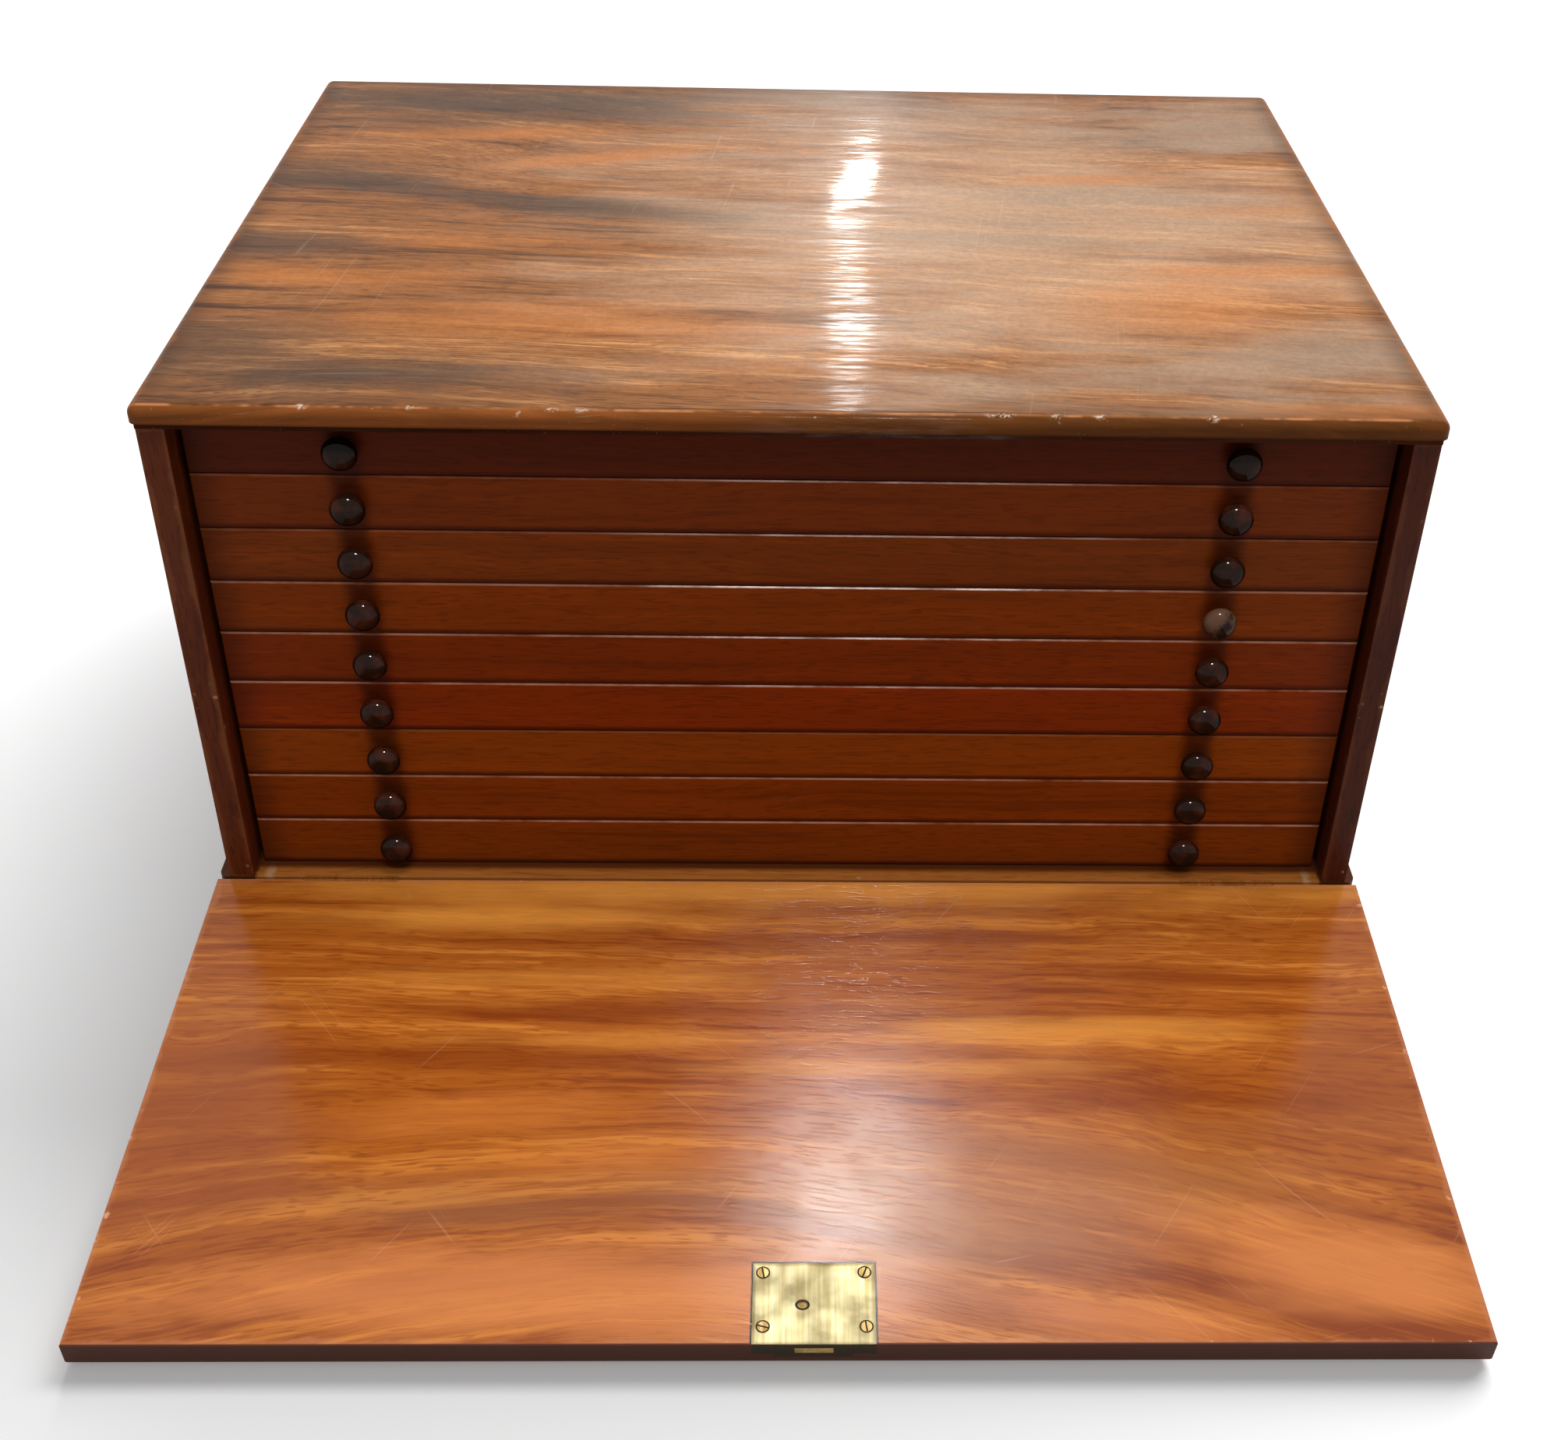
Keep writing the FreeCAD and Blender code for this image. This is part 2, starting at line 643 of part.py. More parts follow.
def make_tray_board(doc, drawer):
    """The tray's floor: a tongue housed in the front, and a groove along each edge for the runners."""
    body = new_body(doc, f"tray_board_{drawer:02d}")
    sketch = new_sketch(body, "plan", "XY_Plane", z="tray_lift")
    half_width = f"({DRAWER_WIDTH} / 2)"
    tongue = f"({half_width} - tray_shoulder)"
    tongue_end = f"{DRAWER_INSIDE} - tray_housing"
    add_polygon(sketch, [
        (f"-{tongue}", tongue_end),
        (tongue, tongue_end),
        (tongue, DRAWER_INSIDE),
        (half_width, DRAWER_INSIDE),
        (half_width, TRAY_END),
        (f"-{half_width}", TRAY_END),
        (f"-{half_width}", DRAWER_INSIDE),
        (f"-{tongue}", DRAWER_INSIDE),
    ])
    pad(body, "board", sketch, "tray_thickness")
    groove = recess(
        body, "edge_groove",
        (f"{half_width} - runner_bite - runner_side_play", DRAWER_INSIDE, f"{RUNNER_LIFT} - runner_play"),
        (half_width, TRAY_END, f"{RUNNER_LIFT} + runner_height + runner_play"),
    )
    mirror_in_x(body, "other_groove", [groove])
    place(body, z=drawer_height(drawer))


def make_baize(doc, drawer):
    body = new_body(doc, f"baize_{drawer:02d}")
    half_width = f"({DRAWER_WIDTH} / 2 - baize_margin)"
    block(
        body, "sheet",
        (f"-{half_width}", DRAWER_INSIDE, TRAY_TOP),
        (half_width, f"{TRAY_END} - baize_margin", f"{TRAY_TOP} + baize_thickness"),
    )
    place(body, z=drawer_height(drawer))


def make_coin_grid(doc, drawer, across, deep):
    """The pierced board laid on the baize, one square-cornered cell for each coin."""
    body = new_body(doc, f"coin_grid_{drawer:02d}")
    width = f"({DRAWER_WIDTH} - 2 * grid_margin)"
    depth = f"({TRAY_END} - {DRAWER_INSIDE} - grid_margin)"
    floor = f"{TRAY_TOP} + baize_thickness"
    block(
        body, "board",
        (f"-{width} / 2", DRAWER_INSIDE, floor),
        (f"{width} / 2", f"{DRAWER_INSIDE} + {depth}", f"{floor} + grid_height"),
    )
    step_x = f"(({width} - grid_bar) / {across})"
    step_y = f"(({depth} - grid_bar) / {deep})"
    left = f"grid_bar - {width} / 2"
    front = f"{DRAWER_INSIDE} + grid_bar"
    cell = recess(
        body, "cell",
        (left, front, floor),
        (f"{left} + {step_x} - grid_bar", f"{front} + {step_y} - grid_bar", f"{floor} + grid_height"),
    )
    cells = body.newObject("PartDesign::LinearPattern", "cells")
    cells.Originals = [cell]
    cells.Direction = (origin_feature(body, "X_Axis"), [""])
    cells.Occurrences = across
    cells.setExpression("Length", scoped(f"{step_x} * {across - 1}"))
    cells.Direction2 = (origin_feature(body, "Y_Axis"), [""])
    cells.Occurrences2 = deep
    cells.setExpression("Length2", scoped(f"{step_y} * {deep - 1}"))
    body.Tip = cells
    place(body, z=drawer_height(drawer))


def check_document(doc):
    """Stops before anything is written if a feature has failed or a sub-part is not sound."""
    doc.recompute()
    for item in doc.Objects:
        if "Invalid" in item.State or "Error" in item.State:
            raise RuntimeError(f"{item.Label} did not compute: {item.State}")
    bodies = [item for item in doc.Objects if item.TypeId == "PartDesign::Body"]
    for body in bodies:
        if body.Shape.isNull() or not body.Shape.isValid():
            raise RuntimeError(f"{body.Label} has no sound shape")
    return bodies


def main():
    doc = FreeCAD.newDocument("coin_cabinet")
    make_sheet(doc)
    make_top_board(doc)
    make_base_board(doc)
    make_plinth(doc)
    make_side(doc, "left_side", -1)
    make_side(doc, "right_side", 1)
    make_back_panel(doc)
    make_runners(doc)
    make_fall_front(doc)
    make_base_leaves(doc)
    make_flap_leaves(doc)
    make_hinge_pins(doc)
    make_lock_case(doc)
    make_lock_bolt(doc)
    make_escutcheon(doc)
    for drawer, (across, deep) in enumerate(COIN_CELLS, start=1):
        make_drawer_front(doc, drawer)
        make_drawer_knobs(doc, drawer)
        make_tray_board(doc, drawer)
        make_baize(doc, drawer)
        make_coin_grid(doc, drawer, across, deep)
    bodies = check_document(doc)
    os.makedirs("parts", exist_ok=True)
    for body in bodies:
        body.Shape.exportStep(f"parts/{body.Label}.step")
        print(f"{body.Label}: {len(body.Shape.Solids)} solids, {body.Shape.Volume:.1f} mm3")


main()
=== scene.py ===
# %% [markdown]
# # A coin collector's cabinet
# A table-top cabinet of polished mahogany: nine shallow trays behind a fall front that is hinged at the
# bottom and locks at the top. The boards come from a finished solid model and are not reshaped here.
# This lesson gives them their wood, polish and wear, turns the knobs, cuts the screws, and sets up the
# camera and the lights. Everything is in metres; +Z is up and the cabinet faces -Y.

# %% Load the solid model
import json
import math

import bmesh
import bpy
from mathutils import Matrix, Vector


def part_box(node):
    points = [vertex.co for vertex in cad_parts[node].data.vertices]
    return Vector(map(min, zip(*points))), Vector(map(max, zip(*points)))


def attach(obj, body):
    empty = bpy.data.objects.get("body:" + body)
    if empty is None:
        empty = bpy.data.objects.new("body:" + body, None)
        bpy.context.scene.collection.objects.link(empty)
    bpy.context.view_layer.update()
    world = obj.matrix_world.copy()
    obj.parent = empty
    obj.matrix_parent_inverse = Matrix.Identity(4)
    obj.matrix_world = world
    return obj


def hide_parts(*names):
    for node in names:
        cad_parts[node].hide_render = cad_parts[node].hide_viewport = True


MM = 0.001
DRAWERS = range(1, 10)
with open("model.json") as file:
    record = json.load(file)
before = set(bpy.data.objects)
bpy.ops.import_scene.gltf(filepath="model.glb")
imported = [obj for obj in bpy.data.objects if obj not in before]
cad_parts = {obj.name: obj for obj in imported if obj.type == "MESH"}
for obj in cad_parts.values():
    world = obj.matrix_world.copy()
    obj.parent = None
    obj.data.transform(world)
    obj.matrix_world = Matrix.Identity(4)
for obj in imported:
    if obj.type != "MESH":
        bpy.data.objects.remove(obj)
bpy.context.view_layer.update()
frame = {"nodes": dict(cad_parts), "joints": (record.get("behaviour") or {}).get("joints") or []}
boards = frame["nodes"]
print("solid pieces:", len(boards))

# %% [markdown]
# ## The fall front's own frame
# The open flap droops a little below level, so its grain and wear are easier to lay out in a frame of its
# own: the hinge axis is its X axis, the flap runs towards -Y, and +Z is the normal of its inner face.
# One matrix takes a point from that frame to the cabinet's. It is read from the hinge joint, so it
# follows the solid model. The flap's faces and the lock's plate are given in the same frame.

# %% The flap's frame
hinge = next(joint for joint in frame["joints"] if joint["name"] == "fall_front_hinge")
hinge_place = Vector(hinge["pos_m"])
droop = math.radians(-hinge["range_deg"][0] - 90)
flap_frame = Matrix.Translation(hinge_place) @ Matrix.Rotation(droop, 4, "X")
FLAP_HEIGHT = 165.9 * MM
FLAP_REACH = 183.2 * MM
FLAP_FACE = 0.95 * MM
FLAP_BACK = -8.2 * MM
LOCK_MIDDLE = (7 * MM, -153.9 * MM, 0)
LOCK_HALF = (16 * MM, 12 * MM, 0)
print("droop of the open flap:", round(math.degrees(droop), 2), "degrees")

# %% [markdown]
# ## Small helpers for shader nodes
# Every finish here is a node graph, and a few helpers keep the graphs short. The first two fill a node's
# sockets: a value goes in as it is, and another node's output is linked. The next do sums on numbers and
# on vectors. Then come the ones that shape a mask, from 0 to 1, and lay one colour over another through
# it. The last two make a node group with named sockets, and place one in a material.

# %% Adding nodes
def fill(tree, socket, value):
    """Links the socket to another node's output, or gives it a plain value."""
    if isinstance(value, bpy.types.NodeSocket):
        tree.links.new(value, socket)
    else:
        socket.default_value = value


def add(tree, kind, values=None, **settings):
    node = tree.nodes.new(kind)
    for name, value in settings.items():
        setattr(node, name, value)
    for socket, value in (values or {}).items():
        fill(tree, node.inputs[socket], value)
    return node


print("sockets are filled by fill and add")


# %% Sums
def sum_of(tree, operation, *values, clamp=False):
    values = dict(enumerate(values))
    return add(tree, "ShaderNodeMath", values, operation=operation, use_clamp=clamp).outputs[0]


def times(tree, first, second):
    return sum_of(tree, "MULTIPLY", first, second)


def vector_sum(tree, operation, *values):
    node = add(tree, "ShaderNodeVectorMath", operation=operation)
    for index, value in enumerate(values):
        fill(tree, node.inputs["Scale" if operation == "SCALE" and index == 1 else index], value)
    return node.outputs["Value" if operation == "LENGTH" else "Vector"]


def split(tree, vector):
    """A vector's x, y and z."""
    return add(tree, "ShaderNodeSeparateXYZ", {0: vector}).outputs


print("sums ready")


# %% Masks and colours
def eased(tree, value, low, high, start=0.0, end=1.0):
    """The value carried smoothly from low..high to start..end, and held there outside."""
    values = {0: value, 1: low, 2: high, 3: start, 4: end}
    return add(tree, "ShaderNodeMapRange", values, interpolation_type="SMOOTHSTEP").outputs[0]


def band(tree, value, middle, inner, outer, strength=1.0):
    """A mask at full strength within inner of the middle, which fades out at outer."""
    gap = sum_of(tree, "ABSOLUTE", sum_of(tree, "SUBTRACT", value, middle))
    return eased(tree, gap, inner, outer, strength, 0.0)


def blended(tree, factor, first, second, blend="MIX"):
    values = {"Factor": factor, 6: first, 7: second}
    return add(tree, "ShaderNodeMix", values, data_type="RGBA", blend_type=blend).outputs[2]


def tinted(tree, colour, mask, strength, tint):
    """The colour, carried towards the tint where the mask is laid."""
    return blended(tree, times(tree, mask, strength), colour, tint)


def noise(tree, place, scale, detail=2.0, roughness=0.5):
    values = {"Vector": place, "Scale": scale, "Detail": detail, "Roughness": roughness}
    return add(tree, "ShaderNodeTexNoise", values).outputs["Fac"]


def stretched(tree, place, scale, shift=(0, 0, 0)):
    return add(tree, "ShaderNodeMapping", {"Vector": place, "Scale": scale, "Location": shift}).outputs[0]


def rgb(red, green, blue):
    """A colour picked on screen, 0 to 255, as the linear value a shader wants."""
    def linear(level):
        level /= 255
        return level / 12.92 if level <= 0.04045 else ((level + 0.055) / 1.055) ** 2.4
    return (linear(red), linear(green), linear(blue), 1.0)


print("masks and colours ready")


# %% Node groups
def new_group(name, inputs, outputs):
    """A node group with named sockets: an input's value says its kind, and outputs are floats or colours."""
    group = bpy.data.node_groups.new(name, "ShaderNodeTree")
    for label, value in inputs.items():
        kind = "NodeSocketFloat"
        if isinstance(value, tuple):
            kind = "NodeSocketColor" if len(value) == 4 else "NodeSocketVector"
        socket = group.interface.new_socket(label, in_out="INPUT", socket_type=kind)
        socket.default_value = value
    for label in outputs:
        kind = "NodeSocketColor" if label == "Colour" else "NodeSocketFloat"
        group.interface.new_socket(label, in_out="OUTPUT", socket_type=kind)
    source = group.nodes.new("NodeGroupInput").outputs
    result = group.nodes.new("NodeGroupOutput").inputs
    return group, source, result


def grouped(tree, group, values):
    node = tree.nodes.new("ShaderNodeGroup")
    node.node_tree = group
    for socket, value in values.items():
        fill(tree, node.inputs[socket], value)
    return node.outputs


print("groups are made by new_group and placed by grouped")

# %% [markdown]
# ## Ribbon mahogany
# Mahogany sawn near the quarter shows ribbons: long bands that turn from dark to golden because the
# fibres lean one way and then the other. Under them run finer streaks, single fibres, and the short
# dark pores that every piece of mahogany has. A picture of wood would do for one face, but noise that
# is stretched along the grain is solid: it runs on round every edge and end, as real timber does. The
# group adds five such noises into one tone, from broad ribbons and shimmer down to single fibres, and
# cuts the pores from a sixth. The tone then runs from the dark colour through the middle to the light.

# %% The mahogany group
mahogany_group, given, result = new_group(
    "Mahogany figure",
    {
        "Place": (0.0, 0.0, 0.0), "Slope": 0.0, "Wave": 0.012, "Ribbon width": 26.0, "Contrast": 1.0,
        "Dark": (0.1, 0.04, 0.02, 1.0), "Middle": (0.3, 0.1, 0.03, 1.0), "Light": (0.5, 0.2, 0.06, 1.0),
    },
    ("Colour", "Ribbon", "Fibre", "Pores"),
)
tree = mahogany_group
parts = split(tree, given["Place"])
leaning = sum_of(tree, "MULTIPLY_ADD", parts[0], given["Slope"], parts[1])
slow = noise(tree, given["Place"], 5.0, 1.0)
swing = times(tree, sum_of(tree, "SUBTRACT", slow, 0.5), given["Wave"])
ripple = noise(tree, stretched(tree, given["Place"], (16, 30, 30), (3, 0, 0)), 1.0, 2.0)
swing = sum_of(tree, "MULTIPLY_ADD", sum_of(tree, "SUBTRACT", ripple, 0.5), 0.006, swing)
grain_y = sum_of(tree, "ADD", leaning, swing)
grain_z = sum_of(tree, "ADD", parts[2], swing)
along = add(tree, "ShaderNodeCombineXYZ", {0: parts[0], 1: grain_y, 2: grain_z}).outputs[0]
ribbon_width = given["Ribbon width"]
across = add(tree, "ShaderNodeCombineXYZ", {0: 2.4, 1: ribbon_width, 2: ribbon_width}).outputs[0]
ribbon = noise(tree, vector_sum(tree, "MULTIPLY", along, across), 1.0, 3.0, 0.5)
streak = noise(tree, stretched(tree, along, (5.0, 150, 150), (1, 7, 2)), 1.0, 3.0, 0.6)
fine = noise(tree, stretched(tree, along, (14, 420, 420), (6, 3, 8)), 1.0, 2.0, 0.6)
fibre = noise(tree, stretched(tree, along, (30, 1100, 1100)), 1.0, 2.0, 0.6)
pore = noise(tree, stretched(tree, along, (140, 1700, 1700), (5, 1, 0)), 1.0, 0.0)
shimmer = noise(tree, stretched(tree, along, (11, 24, 24), (9, 4, 1)), 1.0, 2.0)
TONE_SPREAD = 3.6
tone = times(tree, ribbon, 0.26)
for layer, share in ((streak, 0.26), (fine, 0.22), (fibre, 0.17), (shimmer, 0.09)):
    tone = sum_of(tree, "MULTIPLY_ADD", layer, share, tone)
tone = sum_of(tree, "SUBTRACT", tone, 0.5)
tone = times(tree, tone, given["Contrast"])
tone = sum_of(tree, "MULTIPLY_ADD", tone, TONE_SPREAD, 0.5, clamp=True)
pores = eased(tree, pore, 0.58, 0.70)
lower = eased(tree, tone, 0.0, 0.5)
upper = eased(tree, tone, 0.5, 1.0)
colour = blended(tree, lower, given["Dark"], given["Middle"])
colour = blended(tree, upper, colour, given["Light"])
dimmed = times(tree, pores, 0.5)
colour = blended(tree, dimmed, colour, given["Dark"])
for name, value in (("Colour", colour), ("Ribbon", tone), ("Fibre", fibre), ("Pores", pores)):
    tree.links.new(value, result[name])
print("mahogany group nodes:", len(tree.nodes))

# %% [markdown]
# ## Worn arrises
# Hands and cloths reach the arrises of a board first. The polish thins there, the stain rubs through to
# paler wood, and a few fibres chip away. The group works out how far a point is from the nearest
# arris of a plain board: of its three distances to the board's faces, the middle one. Noise makes the
# worn band wander.

# %% The arris wear group
wear_group, given, result = new_group(
    "Arris wear",
    {"Place": (0.0, 0.0, 0.0), "Centre": (0.0, 0.0, 0.0), "Half size": (0.1, 0.1, 0.1), "Width": 0.003},
    ("Wear", "Chips"),
)
tree = wear_group
reach = vector_sum(tree, "ABSOLUTE", vector_sum(tree, "SUBTRACT", given["Place"], given["Centre"]))
gap = split(tree, vector_sum(tree, "SUBTRACT", given["Half size"], reach))
near = sum_of(tree, "MINIMUM", gap[0], gap[1])
far = sum_of(tree, "MAXIMUM", gap[0], gap[1])
arris = sum_of(tree, "MAXIMUM", near, sum_of(tree, "MINIMUM", far, gap[2]))
wander = noise(tree, given["Place"], 45.0, 4.0, 0.65)
wander = times(tree, sum_of(tree, "SUBTRACT", wander, 0.5), 5.0)
depth = sum_of(tree, "DIVIDE", arris, given["Width"])
depth = sum_of(tree, "ADD", depth, wander)
tree.links.new(eased(tree, depth, 0.2, 1.2, 1.0, 0.0), result["Wear"])
crumbs = noise(tree, given["Place"], 260.0, 2.0)
patches = noise(tree, given["Place"], 30.0, 1.0)
edge_zone = eased(tree, arris, 0.0008, 0.0022, 1.0, 0.0)
chips = times(tree, eased(tree, crumbs, 0.65, 0.71), edge_zone)
chips = times(tree, chips, eased(tree, patches, 0.48, 0.6))
tree.links.new(chips, result["Chips"])
print("arris wear group nodes:", len(tree.nodes))

# %% [markdown]
# ## Scratches
# A polished top gathers fine scratches from things that were set down and slid. Each set of scratches
# here is noise drawn out very long in one direction and cut so high that only thin threads are left,
# broken up by a second, coarser noise. Three directions that cross look like years of use.

# %% The scratch group
scratch_group, given, result = new_group(
    "Fine scratches",
    {"Place": (0.0, 0.0, 0.0), "Direction": (0.0, 0.0, 0.6), "Amount": 0.5},
    ("Scratches",),
)
tree = scratch_group
bend = noise(tree, given["Place"], 9.0, 1.0)
bent = vector_sum(tree, "ADD", given["Place"], vector_sum(tree, "SCALE", (0.02, 0.02, 0.0), bend))
found = None
for turn, shift in ((0.0, 0.0), (1.1, 4.0), (-0.7, 8.0)):
    angle = vector_sum(tree, "ADD", given["Direction"], (0.0, 0.0, turn))
    values = {"Vector": bent, "Rotation": angle, "Location": (shift, 0, 0)}
    turned = add(tree, "ShaderNodeMapping", values).outputs[0]
    thread = noise(tree, stretched(tree, turned, (14, 1100, 1100)), 1.0, 0.0)
    broken = noise(tree, turned, 34.0, 1.0)
    line = times(tree, eased(tree, thread, 0.74, 0.81), eased(tree, broken, 0.53, 0.66))
    found = line if found is None else sum_of(tree, "MAXIMUM", found, line)
tree.links.new(times(tree, found, given["Amount"]), result["Scratches"])
print("scratch group nodes:", len(tree.nodes))

# %% [markdown]
# ## Soft patches
# Old polish is never even: it is smoky in some places, and warm in others. A soft patch is an ellipse with a
# feathered, uneven rim, laid where it is wanted. Many of them together make the clouds of colour on the top
# board, and some of them paint light and shade there. The tables below give each patch in millimetres: x, y,
# its reach along x and along y, then its turn in degrees and its strength.

# %% The patch group
patch_group, given, result = new_group(
    "Soft patch",
    {"Place": (0.0, 0.0, 0.0), "Centre": (0.0, 0.0, 0.0), "Reach": (0.05, 0.05, 1.0), "Turn": 0.0},
    ("Patch",),
)
tree = patch_group
spin = add(tree, "ShaderNodeCombineXYZ", {2: given["Turn"]}).outputs[0]
off = vector_sum(tree, "SUBTRACT", given["Place"], given["Centre"])
off = add(tree, "ShaderNodeMapping", {"Vector": off, "Rotation": spin}).outputs[0]
far = vector_sum(tree, "LENGTH", vector_sum(tree, "DIVIDE", off, given["Reach"]))
ragged = noise(tree, stretched(tree, given["Place"], (14, 50, 50)), 1.0, 3.0, 0.6)
far = sum_of(tree, "MULTIPLY_ADD", sum_of(tree, "SUBTRACT", ragged, 0.5), 1.5, far)
tree.links.new(eased(tree, far, 0.15, 1.05, 1.0, 0.0), result["Patch"])
print("patch group nodes:", len(tree.nodes))


# %% Patches laid in a material
def lay_patches(tree, place, patches):
    """The strongest of several soft patches at each point."""
    strongest = None
    for x, y, reach_x, reach_y, turn, strength in patches:
        values = {"Place": place, "Centre": (x * MM, y * MM, 0.0), "Turn": math.radians(turn),
                  "Reach": (reach_x * MM, reach_y * MM, 1.0)}
        patch = times(tree, grouped(tree, patch_group, values)["Patch"], strength)
        strongest = patch if strongest is None else sum_of(tree, "MAXIMUM", strongest, patch)
    return strongest


print("patches are laid by lay_patches")

# %% [markdown]
# ## Starting a finish
# Each finish starts the same way: a new material, the piece's own coordinates, and one Principled
# shader. A Mapping node set to Texture takes the coordinates into a turned frame, such as the flap's.
# Each ends the same way too: its colour, roughness and bump go to the shader, and numbers that are the
# same all over the piece, such as the gloss, are set on the shader's own sockets.

# %% New material
def new_finish(name, location=(0, 0, 0), turn=(0, 0, 0)):
    finish = bpy.data.materials.new(name)
    finish.use_nodes = True
    tree = finish.node_tree
    tree.nodes.clear()
    output = add(tree, "ShaderNodeOutputMaterial")
    shader = add(tree, "ShaderNodeBsdfPrincipled")
    tree.links.new(shader.outputs[0], output.inputs["Surface"])
    coordinates = add(tree, "ShaderNodeTexCoord").outputs["Object"]
    values = {"Vector": coordinates, "Location": location, "Rotation": turn}
    place = add(tree, "ShaderNodeMapping", values, vector_type="TEXTURE").outputs[0]
    return finish, tree, shader, place


def lay_finish(tree, shader, colour, roughness, height, bump=0.02, coat=0.3, coat_roughness=0.12, gloss=0.5):
    """Feeds the shader; bump is the depth of the relief in mm."""
    relief = {"Strength": 1.0, "Distance": bump * MM, "Height": height}
    values = {
        "Base Color": colour, "Roughness": roughness, "Specular IOR Level": gloss,
        "Coat Weight": coat, "Coat Roughness": coat_roughness,
        "Normal": add(tree, "ShaderNodeBump", relief).outputs[0],
    }
    for socket, value in values.items():
        fill(tree, shader.inputs[socket], value)


def dress(node, finish):
    """Gives a solid piece one finish."""
    boards[node].data.materials.clear()
    boards[node].data.materials.append(finish)


print("finishes start from new_finish and end in lay_finish")

# %% [markdown]
# ## The top board
# The show face of the cabinet. Its polish has gone smoky at the corners and along the left, and warm ribbons
# run across it and dip a little towards the right. Soft patches carry the smoke, which is darkened further
# on the left as painted shade; a grey haze that is a painted reflection of the surround on the right; the
# warmth; and a pale painted glow of light in the middle. The mahogany group carries the figure under them.

# %% The top's figure and patches
low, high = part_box("top_board")
top_middle = tuple((low + high) / 2)
top_half = tuple((high - low) / 2)
top_finish, tree, shader, place = new_finish("mahogany_top")
wood = grouped(tree, mahogany_group, {
    "Place": place, "Slope": 0.08, "Wave": 0.04, "Ribbon width": 52.0, "Contrast": 1.1,
    "Dark": rgb(80, 48, 28), "Middle": rgb(160, 102, 56), "Light": rgb(218, 154, 96),
})
painted_light_glow = lay_patches(tree, place, [(66, -6, 180, 170, 0, 1.0)])
warmth = lay_patches(tree, place, [
    (-108, 76, 60, 10, -6, 0.9), (-62, 56, 50, 8, -16, 0.9), (-142, -50, 60, 14, 0, 0.9),
    (-105, -22, 70, 10, 0, 0.8), (-73, -80, 100, 20, 0, 0.8), (122, -66, 60, 30, 0, 0.9),
    (141, -36, 60, 8, -3, 0.8), (100, 40, 50, 7, -4, 0.8), (160, 16, 50, 7, -4, 0.8),
    (165, -130, 50, 8, 0, 0.8), (-27, -108, 60, 8, 0, 0.6),
])
painted_surround_sheen = lay_patches(tree, place, [
    (153, 92, 80, 34, 0, 1.0), (113, 24, 90, 14, 4, 0.9), (160, -94, 50, 40, 0, 1.0),
    (30, 110, 120, 24, 0, 0.8), (90, -114, 120, 16, 0, 0.9), (-59, -113, 70, 12, 0, 0.8),
    (70, -14, 90, 9, 3, 0.7), (-20, 6, 60, 12, 6, 0.6),
])
smoke_and_painted_shade = lay_patches(tree, place, [
    (-130, 108, 140, 38, 0, 1.0), (-163, -24, 56, 16, 0, 0.9), (-168, -100, 70, 32, 4, 0.85),
    (-112, -114, 120, 20, 0, 1.0), (-80, 10, 80, 12, 10, 0.9), (-160, 32, 56, 18, 6, 0.9),
    (-104, 96, 90, 20, 0, 0.8),
])
# Painted light: the pale glow in the middle and the grey reflection of the surround are painted into the
# colour, and the smoky patches on the left also paint shade.
colour = tinted(tree, wood["Colour"], painted_light_glow, 0.46, rgb(234, 198, 164))
colour = tinted(tree, colour, warmth, 0.65, rgb(208, 126, 58))
colour = tinted(tree, colour, painted_surround_sheen, 0.65, rgb(166, 142, 120))
colour = tinted(tree, colour, smoke_and_painted_shade, 0.8, rgb(70, 57, 48))
print("top's colour laid, nodes so far:", len(tree.nodes))

# %% [markdown]
# Old wax and dirt lie in the polish as dark specks. A duster pushes them outwards, so they gather in a
# ragged dark rim a few millimetres wide. The rim is measured inwards from the board's own faces, and the
# specks' noise shifts it to and fro.

# %% The top's specks and rim
specks = noise(tree, place, 620.0, 3.0, 0.7)
colour = blended(tree, eased(tree, specks, 0.35, 0.65, 0.16, 0.0), colour, rgb(60, 34, 20))
off_middle = vector_sum(tree, "ABSOLUTE", vector_sum(tree, "SUBTRACT", place, top_middle))
inward = split(tree, vector_sum(tree, "SUBTRACT", top_half, off_middle))
rim = sum_of(tree, "MINIMUM", inward[0], inward[1])
rim = sum_of(tree, "MULTIPLY_ADD", specks, -5 * MM, rim)
colour = blended(tree, eased(tree, rim, -1 * MM, 9 * MM, 0.5, 0.0), colour, rgb(66, 38, 22))
print("rim measured from a board of half size:", [round(side, 4) for side in top_half])

# %% [markdown]
# The front arris is the lip that hands take hold of. Its rounded edge is rubbed back to the wood, paler
# at the left, and its fibres show. Behind it, in the middle of its length, dirt has left a thin dark
# crease.

# %% The rubbed lip
rail = split(tree, place)
wear = grouped(tree, wear_group, {
    "Place": place, "Centre": top_middle, "Half size": top_half, "Width": 2.8 * MM,
})
colour = tinted(tree, colour, wear["Wear"], 0.4, rgb(186, 116, 66))
rubbed_wood = blended(tree, eased(tree, rail[0], -90 * MM, 30 * MM), rgb(146, 84, 40), rgb(110, 64, 28))
fibres = blended(tree, wood["Ribbon"], (0.6, 0.6, 0.6, 1.0), (1.25, 1.2, 1.1, 1.0))
rubbed_wood = blended(tree, 1.0, rubbed_wood, fibres, "MULTIPLY")
lip = eased(tree, rail[1], low.y + 1.3 * MM, low.y + 2.3 * MM, 1.0, 0.0)
colour = blended(tree, lip, colour, rubbed_wood)
crease = band(tree, rail[1], low.y + 3.0 * MM, 0.0, 0.5 * MM, 0.8)
mid_length = band(tree, rail[0], 10 * MM, 40 * MM, 80 * MM)
colour = tinted(tree, colour, crease, mid_length, rgb(70, 34, 18))
print("lip laid from y =", round(low.y, 4))
